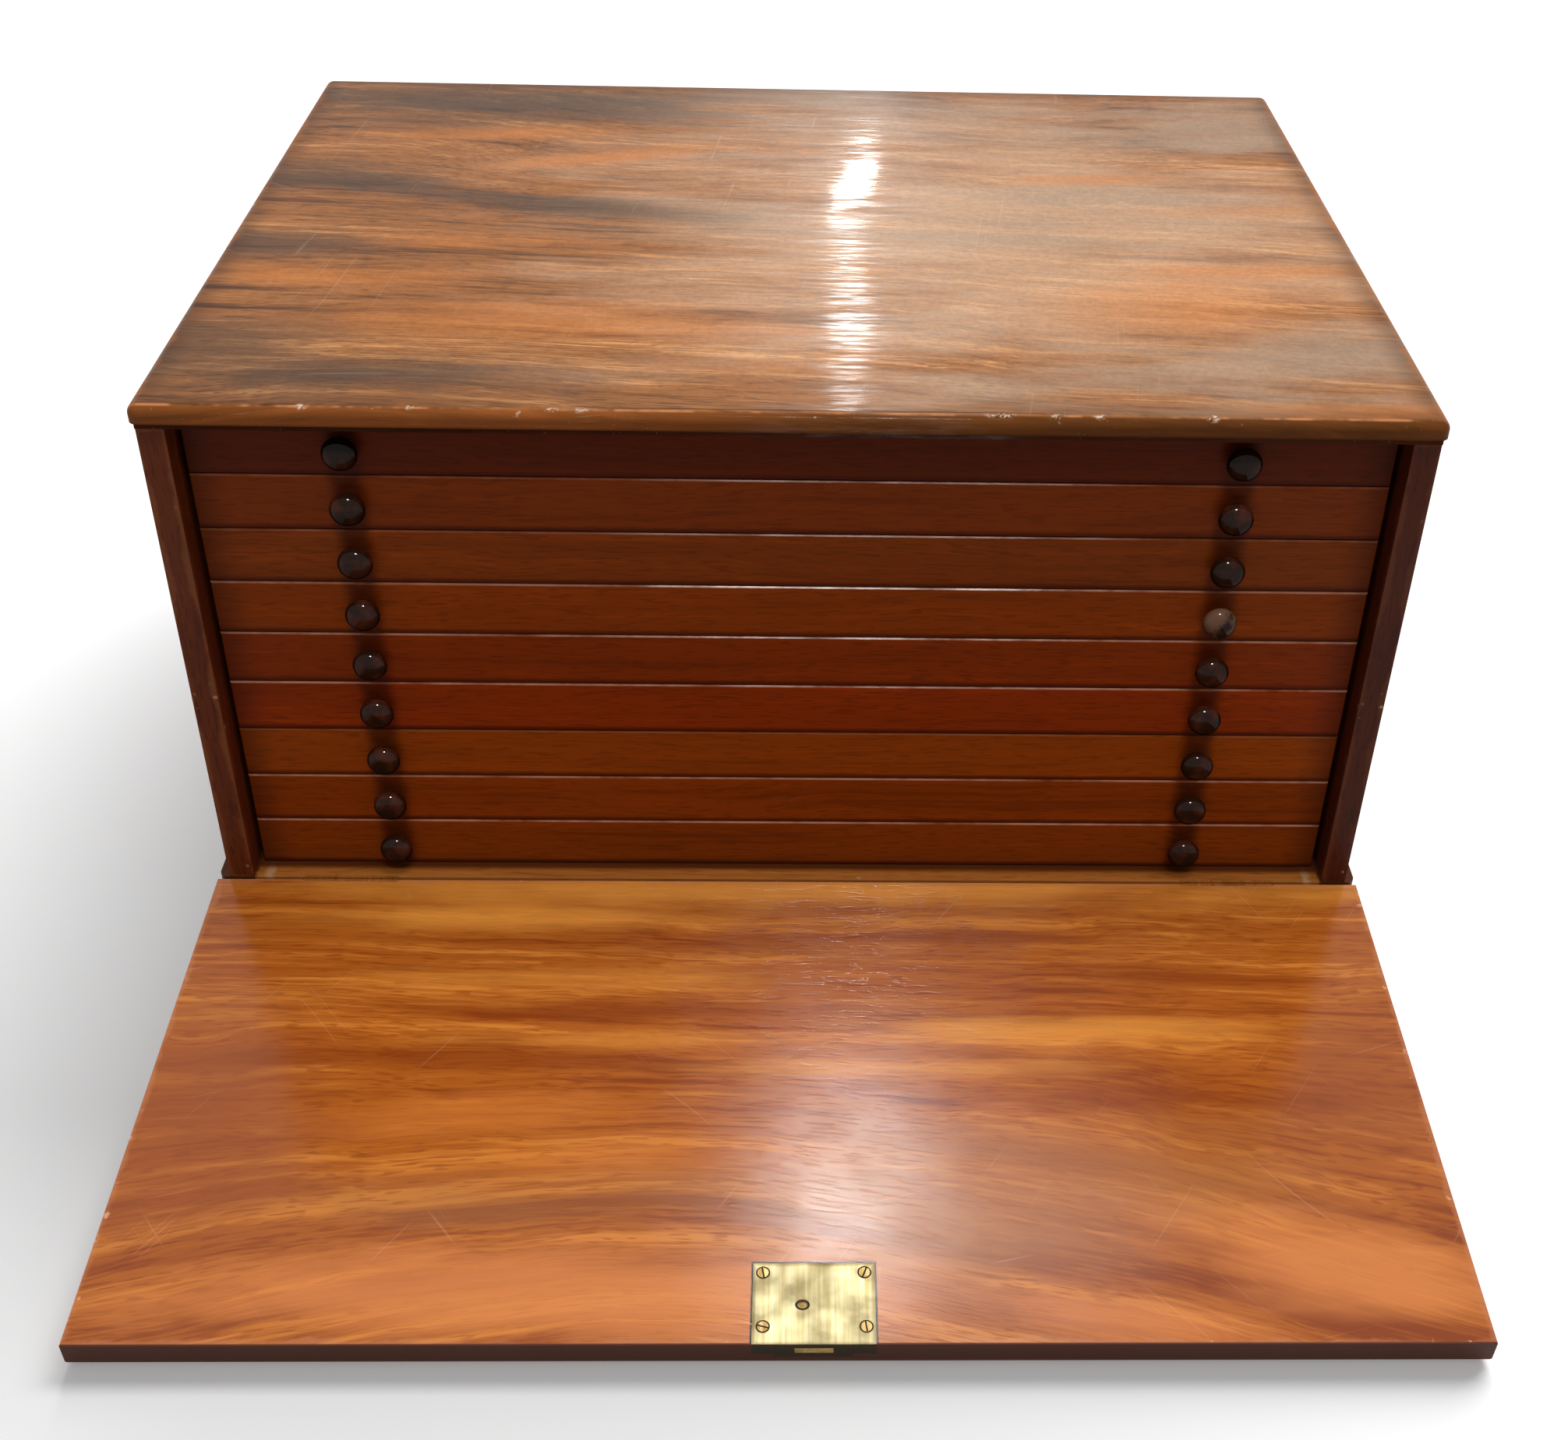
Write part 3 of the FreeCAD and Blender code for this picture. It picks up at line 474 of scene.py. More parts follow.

# %% [markdown]
# Along the crest of the lip runs a painted highlight: a pale line, broken into dashes by a noise that is
# long in x and short across. Where the lip was knocked, the polish came off in small chips. A patch says
# where each chip is, and a fine noise tears its outline. The lip's lower part is painted dark, as the shade
# under the lip.

# %% The lip's crest and chips
# A painted highlight along the lip's crest.
painted_arris_highlight = band(tree, rail[1], low.y + 2.0 * MM, 0.2 * MM, 0.6 * MM, 0.7)
dashes = noise(tree, stretched(tree, place, (60, 6, 6)), 1.0, 3.0, 0.7)
painted_arris_highlight = times(tree, painted_arris_highlight, eased(tree, dashes, 0.45, 0.6))
colour = blended(tree, painted_arris_highlight, colour, rgb(204, 136, 88))
colour = blended(tree, wear["Chips"], colour, rgb(214, 196, 176))
KNOCKS = ((-133, 2.0), (-104, 1.6), (-66, 2.6), (-58, 3.0), (56, 5.0), (71, 1.8), (83, 2.0), (114, 2.0))
chips = lay_patches(tree, place, [(x, low.y / MM + 2.0, reach, 1.2, 0, 1.0) for x, reach in KNOCKS])
chips = times(tree, chips, eased(tree, noise(tree, place, 900.0, 3.0, 0.7), 0.47, 0.56))
colour = tinted(tree, colour, chips, 0.8, rgb(228, 208, 186))
# Painted shade on the lip's lower part.
painted_lip_shade = eased(tree, rail[2], low.z + 3.4 * MM, low.z + 5.0 * MM, 0.85, 0.0)
colour = blended(tree, painted_lip_shade, colour, rgb(54, 18, 6))
print("chips on the lip:", len(KNOCKS))

# %% [markdown]
# Scratches are thickest in the middle, where things were set down. The polish is rougher where it is
# worn, and a slow swell in the bump keeps its shine from looking machined. The board's own gloss is low,
# because it is seen at a slant, where any gloss would mirror the white surround.

# %% The top's scratches and polish
used = lay_patches(tree, place, [(20, 30, 80, 110, 0, 1.0)])
amount = sum_of(tree, "MULTIPLY_ADD", used, 0.8, 0.2)
scratches = grouped(tree, scratch_group, {"Place": place, "Amount": amount})["Scratches"]
colour = tinted(tree, colour, scratches, 0.5, rgb(205, 180, 155))
rubbed = noise(tree, place, 60.0, 4.0, 0.65)
roughness = eased(tree, rubbed, 0.3, 0.7, 0.29, 0.37)
roughness = sum_of(tree, "MULTIPLY_ADD", wear["Wear"], 0.2, roughness)
roughness = sum_of(tree, "MULTIPLY_ADD", painted_lip_shade, 0.4, roughness)
swell = noise(tree, place, 55.0, 2.0)
height = sum_of(tree, "SUBTRACT", wood["Fibre"], times(tree, scratches, 1.2))
height = sum_of(tree, "MULTIPLY_ADD", swell, 1.6, height)
lay_finish(tree, shader, colour, roughness, height, bump=0.022, coat_roughness=0.085, gloss=0.05)
print("top's polish laid, nodes so far:", len(tree.nodes))

# %% [markdown]
# The best of the polish is left in a band down the middle. There a clear coat lies on top, thick in one
# pool and broken into fine ripples elsewhere, so the lamp's streak comes out sharp, white and crumbled.

# %% The top's clear coat
glaze = noise(tree, stretched(tree, place, (60, 640, 640)), 1.0, 3.0, 0.7)
pool = lay_patches(tree, place, [(20, 36, 10, 32, 14, 1.0)])
glaze = sum_of(tree, "MULTIPLY_ADD", pool, 0.28, glaze)
polished = lay_patches(tree, place, [(16, -10, 60, 210, 0, 1.0)])
glaze = times(tree, eased(tree, glaze, 0.40, 0.80), polished)
tree.links.new(glaze, shader.inputs["Coat Weight"])
dress("top_board", top_finish)
print("top finish nodes:", len(tree.nodes))

# %% [markdown]
# ## The fall front
# Its inner face was shut away from the light, so it kept its colour: golden ribbons near the hinge, a
# dark wavy band, and a browner lower half whose grain swings down to the right. The grain is bent before
# the mahogany group sees it: an arch is added to the y coordinate, and it grows towards the free edge.

# %% The flap's grain
ARCH_RADIUS = 50 * MM
flap_middle = (0.0, -FLAP_HEIGHT / 2, (FLAP_FACE + FLAP_BACK) / 2)
flap_half = (FLAP_REACH, FLAP_HEIGHT / 2, (FLAP_FACE - FLAP_BACK) / 2)
flap_finish, tree, shader, place = new_finish("mahogany_flap", tuple(hinge_place), (droop, 0, 0))
spot = split(tree, place)
aside = sum_of(tree, "ADD", spot[0], 30 * MM)
run = sum_of(tree, "SQRT", sum_of(tree, "MULTIPLY_ADD", aside, aside, ARCH_RADIUS ** 2))
swing = eased(tree, spot[1], -35 * MM, -175 * MM, 0.0, 0.24)
arched = sum_of(tree, "MULTIPLY_ADD", run, swing, spot[1])
arched = add(tree, "ShaderNodeCombineXYZ", {0: spot[0], 1: arched, 2: spot[2]}).outputs[0]
wood = grouped(tree, mahogany_group, {
    "Place": arched, "Slope": 0.02, "Wave": 0.012, "Ribbon width": 110.0, "Contrast": 1.4,
    "Dark": rgb(132, 58, 14), "Middle": rgb(166, 88, 26), "Light": rgb(202, 122, 46),
})
print("grain arched over", ARCH_RADIUS, "m")

# %% [markdown]
# Six tints lie over the grain, from gold and orange to two dark browns. The gold tint's long band along the
# hinge is partly painted light: it brightens the strip there. Each line of the table is a tint, its
# strength, and its patches in the flap's own frame, where y runs from 0 at the hinge to about -166 at the
# free edge.

# %% The flap's tints
# The first gold patch, a long band along the hinge, is partly painted light.
FLAP_TINTS = (
    (rgb(238, 158, 64), 0.6, [
        (10, -1, 260, 16, 0, 1.0), (-90, -16, 90, 8, 0, 0.9), (-70, -42, 90, 6, 0, 0.5),
        (-50, -66, 70, 5, 0, 0.5), (90, -61, 80, 8, 0, 0.9), (30, -76, 70, 6, 0, 0.7)]),
    (rgb(206, 118, 50), 0.6, [(-90, -94, 70, 10, -4, 0.9), (-50, -108, 60, 12, 0, 0.8)]),
    (rgb(162, 102, 54), 0.6, [
        (40, -128, 80, 44, 0, 1.0), (90, -112, 80, 26, 0, 0.9), (-30, -118, 90, 12, 0, 0.7),
        (-85, -124, 70, 10, 0, 0.7)]),
    (rgb(216, 130, 68), 0.7, [
        (-60, -150, 130, 20, 0, 1.0), (146, -142, 56, 20, 8, 1.0), (84, -158, 60, 9, 10, 0.8),
        (-30, -160, 60, 12, 0, 0.8)]),
    (rgb(142, 70, 28), 0.75, [
        (-170, -84, 50, 60, 0, 1.0), (-160, -122, 50, 18, -6, 0.9), (-140, -98, 30, 8, 0, 0.6),
        (168, -84, 40, 34, 0, 0.7)]),
    (rgb(128, 54, 14), 0.7, [
        (-60, -54, 90, 5, 0, 1.0), (-90, -73, 90, 5, 0, 0.9), (60, -24, 90, 5, 0, 0.8),
        (120, -40, 70, 5, 3, 0.9), (100, -87, 90, 7, 0, 1.0), (-20, -30, 80, 4, 0, 0.6)]),
)
colour = wood["Colour"]
for tint, strength, patches in FLAP_TINTS:
    colour = tinted(tree, colour, lay_patches(tree, place, patches), strength, tint)
print("flap tints:", len(FLAP_TINTS))

# %% [markdown]
# The flap's arrises are worn and it has a few light scratches. A thin dark line of shadow marks the joint
# round the lock's plate. The line is drawn from the distance to the plate, and only near the inner face,
# or it would show on the outer face too.

# %% The flap's wear and the lock's joint
def past_lock(tree, place):
    """How far a point lies outside the lock's plate, in the flap's frame; below 0 on the plate."""
    off_middle = vector_sum(tree, "ABSOLUTE", vector_sum(tree, "SUBTRACT", place, LOCK_MIDDLE))
    past = split(tree, vector_sum(tree, "SUBTRACT", off_middle, LOCK_HALF))
    return sum_of(tree, "MAXIMUM", past[0], past[1])


wear = grouped(tree, wear_group, {
    "Place": place, "Centre": flap_middle, "Half size": flap_half, "Width": 1.6 * MM,
})
colour = tinted(tree, colour, wear["Wear"], 0.45, rgb(190, 120, 78))
colour = blended(tree, wear["Chips"], colour, rgb(206, 150, 110))
values = {"Place": place, "Direction": (0, 0, -0.25), "Amount": 0.4}
scratches = grouped(tree, scratch_group, values)["Scratches"]
colour = tinted(tree, colour, scratches, 0.4, rgb(224, 168, 128))
joint_line = eased(tree, past_lock(tree, place), 0.3 * MM, 0.7 * MM, 1.0, 0.0)
joint_line = times(tree, joint_line, eased(tree, spot[2], -6 * MM, -5 * MM))
colour = blended(tree, joint_line, colour, rgb(28, 16, 10))
print("flap's wear laid, nodes so far:", len(tree.nodes))

# %% [markdown]
# With the flap shut, its outer face is the front of the cabinet, so the light has aged it as dark as the
# sides. Its free edge is painted dark, as shade, and made rougher. The polish inside is thinner than the
# top's, and its shine is broad and soft.

# %% The flap's outer face, edge and polish
outside = eased(tree, spot[2], FLAP_BACK + 0.1 * MM, FLAP_BACK + 0.8 * MM, 0.9, 0.0)
aged_wood = blended(tree, wood["Ribbon"], rgb(82, 36, 15), rgb(152, 84, 42))
colour = blended(tree, outside, colour, aged_wood)
# Painted shade on the flap's free edge.
painted_edge_shade = eased(tree, spot[1], 0.3 * MM - FLAP_HEIGHT, 0.8 * MM - FLAP_HEIGHT, 1.0, 0.0)
colour = blended(tree, painted_edge_shade, colour, rgb(74, 32, 12))
rubbed = noise(tree, place, 40.0, 3.0, 0.6)
roughness = eased(tree, rubbed, 0.3, 0.7, 0.145, 0.19)
roughness = sum_of(tree, "MULTIPLY_ADD", painted_edge_shade, 0.4, roughness)
height = sum_of(tree, "SUBTRACT", wood["Fibre"], times(tree, wood["Pores"], 0.8))
lay_finish(tree, shader, colour, roughness, height, bump=0.016, coat=0.0, gloss=0.3)
dress("fall_front", flap_finish)
print("flap finish nodes:", len(tree.nodes))

# %% [markdown]
# ## The case, and the trays inside it
# The sides, base, plinth, back and runners are plainer mahogany, stained darker. A board's grain runs along
# its length, so the sides get a Mapping turn that stands the grain upright. Inside, the wood was never
# polished: it is paler and duller. A board's tones are four colours: the grain's dark, middle and light, and
# the worn arris. The right side has the darkest tones, which are painted shade.

# %% The case's finish
def case_finish(name, node, tones, turn=(0, 0, 0), rough=0.42, coat=0.06, ribbon=22.0):
    low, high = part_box(node)
    finish, tree, shader, place = new_finish(name, tuple((low + high) / 2), turn)
    wood = grouped(tree, mahogany_group, {
        "Place": place, "Slope": 0.02, "Wave": 0.02, "Ribbon width": ribbon, "Contrast": 0.9,
        "Dark": tones[0], "Middle": tones[1], "Light": tones[2],
    })
    worn = tones[3]
    half = Matrix.Rotation(-turn[1], 3, "Y") @ ((high - low) / 2)
    wear = grouped(tree, wear_group, {
        "Place": place, "Half size": tuple(abs(length) for length in half), "Width": 1.5 * MM,
    })
    colour = tinted(tree, wood["Colour"], wear["Wear"], 0.45, worn)
    colour = tinted(tree, colour, wear["Chips"], 0.7, rgb(190, 150, 120))
    rubbed = noise(tree, place, 16.0, 3.0, 0.6)
    roughness = eased(tree, rubbed, 0.3, 0.7, rough - 0.06, rough + 0.08)
    height = sum_of(tree, "SUBTRACT", wood["Fibre"], wood["Pores"])
    lay_finish(tree, shader, colour, roughness, height, coat=coat, coat_roughness=0.2, gloss=0.08)
    dress(node, finish)
    return finish


outer = (rgb(58, 24, 10), rgb(98, 44, 18), rgb(132, 66, 30), rgb(142, 84, 50))
# Darker copies of the tones for the right side: painted shade.
shaded = (rgb(44, 16, 6), rgb(74, 30, 13), rgb(100, 46, 22), rgb(108, 60, 36))
warm = (rgb(140, 76, 28), rgb(182, 110, 46), rgb(214, 146, 72), rgb(176, 116, 62))
inner = (rgb(96, 58, 34), rgb(134, 84, 50), rgb(160, 106, 66), rgb(168, 116, 76))
upright = (0, math.radians(90), 0)
case_finish("mahogany_left_side", "left_side", outer, turn=upright)
case_finish("mahogany_right_side", "right_side", shaded, turn=upright)
base = case_finish("mahogany_base", "base_board", warm)
case_finish("mahogany_plinth", "plinth_board", outer)
case_finish("mahogany_back", "back_panel", outer, rough=0.55, coat=0.0)
case_finish("mahogany_runners", "drawer_runners", inner, rough=0.6, coat=0.0)
print("base board's finish has", len(base.node_tree.nodes), "nodes")

# %% [markdown]
# The base board shows a narrow strip in front of the drawers, as golden as the flap. Behind the strip
# the board is stained like the sides. At each end the strip has a ragged pale mark, rubbed by the flap's
# corner, and a dark stop beyond it. These marks are laid over the colour that the finish has already.

# %% The base board's marks
tree = base.node_tree
shader = next(node for node in tree.nodes if node.type == "BSDF_PRINCIPLED")
colour = shader.inputs["Base Color"].links[0].from_socket
place = add(tree, "ShaderNodeTexCoord").outputs["Object"]
spot = split(tree, place)
ragged = noise(tree, place, 420.0, 3.0, 0.7)
aside = sum_of(tree, "MULTIPLY_ADD", ragged, 3.0 * MM, sum_of(tree, "ABSOLUTE", spot[0]))
mark_end = eased(tree, aside, 169.2 * MM, 171 * MM, 0.5, 0.0)
pale = times(tree, eased(tree, aside, 167.0 * MM, 168.4 * MM), mark_end)
colour = blended(tree, pale, colour, rgb(206, 170, 130))
stop = eased(tree, aside, 172.2 * MM, 173.6 * MM, 0.0, 0.9)
colour = blended(tree, stop, colour, rgb(62, 28, 12))
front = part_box("base_board")[0].y
behind = eased(tree, spot[1], front + 3 * MM, front + 6 * MM, 0.0, 0.95)
colour = blended(tree, behind, colour, rgb(84, 38, 16))
tree.links.new(colour, shader.inputs["Base Color"])
print("base board's strip starts at y =", round(front, 4))

# %% [markdown]
# ## The drawer fronts
# Nine straight-grained fronts, cut from several boards, so no two match. The top one is painted darkest, as
# shade under the top's lip. Each gets its own tones and its own shift into the solid grain. A front's upper
# arris has a painted highlight where its polish is worn smooth, some far more than others. The fronts darken
# towards their ends, and the lower arris is painted dark as shade. A band round each knob is painted dark as
# shade.

# %% The fronts' finishes
KNOB_REACH = 126.4 * MM
# The first front's darker tone is painted shade under the top's lip.
FRONT_TONES = [
    (92, 34, 8), (122, 52, 12), (124, 56, 14), (134, 58, 10), (128, 50, 8),
    (136, 50, 8), (144, 66, 10), (138, 60, 8), (134, 60, 10),
]
ARRIS_SHINE = [0.1, 0.25, 0.25, 0.7, 0.8, 0.9, 0.15, 0.8, 0.9]


def front_finish(number):
    node = f"drawer_front_{number:02d}"
    low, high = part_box(node)
    half = (high - low) / 2
    middle = tuple((low + high) / 2)
    finish, tree, shader, place = new_finish(f"mahogany_front_{number:02d}", middle)
    shift = (number * 0.37, number * 0.11, number * 0.05)
    tone = FRONT_TONES[number - 1]
    wood = grouped(tree, mahogany_group, {
        "Place": vector_sum(tree, "ADD", place, shift), "Slope": 0.0, "Wave": 0.01,
        "Ribbon width": 60.0, "Contrast": 0.8,
        "Dark": rgb(*(level * 0.76 for level in tone)), "Middle": rgb(*tone),
        "Light": rgb(*(level * 1.2 for level in tone)),
    })
    spot = split(tree, place)
    reach = split(tree, vector_sum(tree, "ABSOLUTE", place))
    end = eased(tree, reach[0], 158 * MM, half.x, 0.0, 0.5)
    colour = blended(tree, end, wood["Colour"], rgb(54, 22, 10))
    # Painted shade along the lower arris.
    lower = eased(tree, spot[2], 2.2 * MM - half.z, 0.5 * MM - half.z, 0.0, 0.8)
    colour = blended(tree, lower, colour, rgb(60, 16, 4))
    # Painted shade in a band round each knob.
    painted_knob_shade = sum_of(tree, "ABSOLUTE", sum_of(tree, "SUBTRACT", reach[0], KNOB_REACH))
    painted_knob_shade = sum_of(tree, "ADD", painted_knob_shade, times(tree, wood["Ribbon"], 1.5 * MM))
    colour = blended(tree, eased(tree, painted_knob_shade, 3.0 * MM, 7.5 * MM, 0.6, 0.0), colour, rgb(52, 12, 5))
    rub = noise(tree, stretched(tree, place, (30, 4, 4), (number, 0, 0)), 1.0, 4.0, 0.7)
    rub = eased(tree, rub, 0.3, 0.6)
    # A painted highlight on the upper arris, which is also glossier there.
    painted_arris_highlight = eased(tree, spot[2], half.z - 0.75 * MM, half.z - 0.3 * MM)
    painted_arris_highlight = times(tree, times(tree, painted_arris_highlight, rub), ARRIS_SHINE[number - 1])
    colour = blended(tree, painted_arris_highlight, colour, rgb(190, 116, 78))
    height = sum_of(tree, "SUBTRACT", wood["Fibre"], wood["Pores"])
    upper = eased(tree, spot[2], half.z - 1.2 * MM, half.z - 0.6 * MM, 0.42, 0.85)
    roughness = blended(tree, eased(tree, painted_arris_highlight, 0.1, 0.6), upper, (0.2, 0.2, 0.2, 1.0))
    lay_finish(tree, shader, colour, roughness, height, bump=0.012, coat=0.0, gloss=0.07)
    tree.links.new(painted_arris_highlight, shader.inputs["Coat Weight"])
    dress(node, finish)


for number in DRAWERS:
    front_finish(number)
print("drawer fronts finished:", len(FRONT_TONES))

# %% [markdown]
# ## Tray boards, coin grids and baize
# A tray is a mahogany board with a green baize lining, and a grid of thin bars that keeps the coins
# apart. Baize is a felted wool cloth: a fine fuzzy nap with no visible weave, a little dusty, so it is
# very rough and has a soft sheen at grazing angles.

# %% The trays' finishes
for number in DRAWERS:
    tray, grid = f"tray_board_{number:02d}", f"coin_grid_{number:02d}"
    case_finish(f"mahogany_tray_{number:02d}", tray, inner, rough=0.55, coat=0.0)
    case_finish(f"mahogany_grid_{number:02d}", grid, outer, rough=0.45, coat=0.1, ribbon=60.0)

baize, tree, shader, place = new_finish("baize")
nap = noise(tree, place, 1400.0, 4.0, 0.7)
dusty = noise(tree, place, 30.0, 3.0, 0.6)
colour = blended(tree, eased(tree, nap, 0.35, 0.65), rgb(24, 58, 40), rgb(52, 96, 66))
colour = blended(tree, eased(tree, dusty, 0.55, 0.8, 0.0, 0.3), colour, rgb(120, 124, 100))
lay_finish(tree, shader, colour, 0.95, nap, bump=0.15, coat=0.0)
shader.inputs["Sheen Weight"].default_value = 0.4
for number in DRAWERS:
    dress(f"baize_{number:02d}", baize)
print("trays lined with baize:", len(DRAWERS))

# %% [markdown]
# ## Brass
# The lock's plate is rolled brass, filed level with the wood and brushed, so its marks all run one way.
# A Metallic value near 1 with a pale yellow colour makes the metal, and the brushing drives the colour
# and a fine bump together, while clouds of tarnish drive the roughness. The hinges have gone brown and
# dull, so their brass is barely metallic.

# %% The brass finishes
def brass_finish(name, tones, location=(0, 0, 0), turn=(0, 0, 0), metallic=0.88):
    """Tones are the brushed metal's two colours and its tarnish."""
    finish, tree, shader, place = new_finish(name, location, turn)
    brushing = noise(tree, stretched(tree, place, (900, 25, 900)), 1.0, 3.0, 0.65)
    cloud = noise(tree, place, 90.0, 4.0, 0.6)
    colour = blended(tree, eased(tree, brushing, 0.3, 0.7), tones[0], tones[1])
    colour = blended(tree, eased(tree, cloud, 0.5, 0.72, 0.0, 0.6), colour, tones[2])
    roughness = eased(tree, cloud, 0.3, 0.7, 0.30, 0.48)
    lay_finish(tree, shader, colour, roughness, brushing, bump=0.01, coat=0.0)
    shader.inputs["Metallic"].default_value = metallic
    return finish, tree, shader, place, colour


aged_brass = (rgb(176, 138, 80), rgb(214, 178, 112), rgb(128, 96, 54))
browned_brass = (rgb(178, 108, 44), rgb(206, 136, 62), rgb(140, 80, 34))
aged = brass_finish("brass_aged", aged_brass)[0]
browned = brass_finish("brass_browned", browned_brass, metallic=0.4)[0]
for node in ("escutcheon", "lock_bolt"):
    dress(node, aged)
for node in ("hinge_base_leaves", "hinge_flap_leaves", "hinge_pins"):
    dress(node, browned)
print("brass finishes:", aged.name, "and", browned.name)

# %% [markdown]
# On the lock's plate, tarnish creeps in from the edges, and the narrow plate let into the flap's free edge
# is coloured dark. Both are laid over the brushed colour in the flap's frame.

# %% The lock's plate
pale_brass = (rgb(172, 156, 107), rgb(194, 184, 145), rgb(148, 126, 78))
on_flap = (tuple(hinge_place), (droop, 0, 0))
plate, tree, shader, place, colour = brass_finish("brass_plate", pale_brass, *on_flap)
tarnish = eased(tree, past_lock(tree, place), -1.2 * MM, -0.2 * MM, 0.0, 0.55)
colour = blended(tree, tarnish, colour, rgb(96, 74, 36))
in_edge = eased(tree, split(tree, place)[1], 0.1 * MM - FLAP_HEIGHT, 0.4 * MM - FLAP_HEIGHT, 1.0, 0.0)
colour = blended(tree, in_edge, colour, rgb(54, 42, 26))
tree.links.new(colour, shader.inputs["Base Color"])
dress("lock_case", plate)
print("lock plate nodes:", len(tree.nodes))

# %% [markdown]
# ## Turned knobs
# Each drawer has a pair of small knobs, turned in ebonised wood: a short waisted neck and a flattened
# ball. A turner cuts a profile while the wood spins, and spin does the same with a row of vertices. The
# profile is in millimetres: the radius, and how far it stands out from the drawer's front. The pair for
# one drawer is one piece that stands for the plain knobs of the solid model.

# %% The knob's profile
KNOB_RADIUS = 5.1 * MM
KNOB_LENGTH = 6.8 * MM
KNOB_PROFILE = [
    (2.55, 0.0), (2.5, 0.25), (2.1, 0.6), (1.95, 1.1), (2.2, 1.5), (3.1, 1.75), (4.1, 2.15), (4.8, 2.85),
    (5.08, 3.75), (5.0, 4.6), (4.6, 5.4), (3.8, 6.1), (2.7, 6.52), (1.4, 6.74),
]


def turned_knob(form, centre, face):
    """Spins the profile about a line through the knob's centre, out of the drawer front's face."""
    corners = [(centre.x + radius * MM, face - out * MM, centre.z) for radius, out in KNOB_PROFILE]
    tip = (centre.x, face - KNOB_LENGTH, centre.z)
    row = [form.verts.new(corner) for corner in corners + [tip]]
    lines = [form.edges.new(pair) for pair in zip(row, row[1:])]
    bmesh.ops.spin(form, geom=row + lines, cent=(centre.x, face, centre.z), axis=(0, 1, 0),
                   steps=48, angle=math.tau, use_merge=True)


def finish_mesh(name, form, finishes, smooth=True):
    """Closes a bmesh into an object: doubles merged, faces outward, shaded smooth."""
    bmesh.ops.remove_doubles(form, verts=form.verts, dist=1e-7)
    bmesh.ops.recalc_face_normals(form, faces=form.faces)
    for face in form.faces:
        face.smooth = smooth
    mesh = bpy.data.meshes.new(name)
    form.to_mesh(mesh)
    form.free()
    piece = bpy.data.objects.new(name, mesh)
    bpy.context.scene.collection.objects.link(piece)
    for finish in finishes:
        mesh.materials.append(finish)
    return piece


print("knob profile points:", len(KNOB_PROFILE))

# %% [markdown]
# Ebonised wood is stained black and waxed. Its colour is not pure black: brown shows where fingers
# have rubbed the crown, and fine turning lines catch the light. The right knob of the fourth drawer has
# lost most of its stain.

# %% The knob's finish
ebony, tree, shader, place = new_finish("ebonised_wood")
handled = noise(tree, place, 160.0, 3.0, 0.6)
colour = blended(tree, eased(tree, handled, 0.4, 0.7), rgb(20, 8, 4), rgb(46, 18, 9))
roughness = eased(tree, handled, 0.3, 0.7, 0.5, 0.62)
turning = noise(tree, stretched(tree, place, (200, 2500, 200)), 1.0, 1.0)
low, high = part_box("drawer_knobs_04")
faded_knob = (high.x - KNOB_RADIUS, 0, (low.z + high.z) / 2)
off_knob = vector_sum(tree, "SUBTRACT", place, faded_knob)
off_knob = vector_sum(tree, "LENGTH", vector_sum(tree, "MULTIPLY", off_knob, (1.0, 0.0, 1.0)))
faded = times(tree, eased(tree, off_knob, 5 * MM, 7 * MM, 1.0, 0.0), eased(tree, handled, 0.3, 0.5))
colour = blended(tree, faded, colour, rgb(66, 45, 33))
lay_finish(tree, shader, colour, roughness, turning, bump=0.01, coat=0.2, coat_roughness=0.04, gloss=0.0)
print("ebony nodes:", len(tree.nodes))

# %% The knobs
all_knobs = []
for number in DRAWERS:
    node = f"drawer_knobs_{number:02d}"
    low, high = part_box(node)
    form = bmesh.new()
    for x in (low.x + KNOB_RADIUS, high.x - KNOB_RADIUS):
        turned_knob(form, Vector((x, 0, (low.z + high.z) / 2)), high.y)
    knobs = finish_mesh(f"turned_knobs_{number:02d}", form, [ebony])
    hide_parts(node)
    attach(knobs, f"drawer_{number:02d}")
    all_knobs.append(knobs)
print("pairs of turned knobs:", len(all_knobs))

# %% [markdown]
# ## Slotted screws
# Four brass screws hold the lock, countersunk level with its plate. A cylinder makes the head; two
# cuts split its face in three, and the middle strip is pushed down for the slot. A thin dark ring lies
# round each head, where old polish and dust fill the countersink. It lies a hair above the plate, so
# the two faces don't fight over the same place.

# %% One screw
HEAD_SUNK = 0.6 * MM
GRIME_LIFT = 0.02 * MM


def slotted_head(form, radius, rise, slot_width, slot_depth):
    """A low disc on the XY plane with a slot along Y."""
    made = bmesh.ops.create_cone(form, cap_ends=True, segments=40, radius1=radius, radius2=radius * 0.94,
                                 depth=rise + HEAD_SUNK)["verts"]
    bmesh.ops.translate(form, verts=made, vec=(0, 0, (rise - HEAD_SUNK) / 2))
    for side in (-1, 1):
        everything = form.verts[:] + form.edges[:] + form.faces[:]
        cut = (side * slot_width / 2, 0, 0)
        bmesh.ops.bisect_plane(form, geom=everything, plane_co=cut, plane_no=(1, 0, 0))
    strip = [face for face in form.faces
             if face.normal.z > 0.9 and abs(face.calc_center_median().x) < slot_width / 2]
    sunk = bmesh.ops.extrude_face_region(form, geom=strip)["geom"]
    bmesh.ops.delete(form, geom=strip, context="FACES_ONLY")
    bmesh.ops.translate(form, verts=[item for item in sunk if isinstance(item, bmesh.types.BMVert)],
                        vec=(0, 0, -slot_depth))


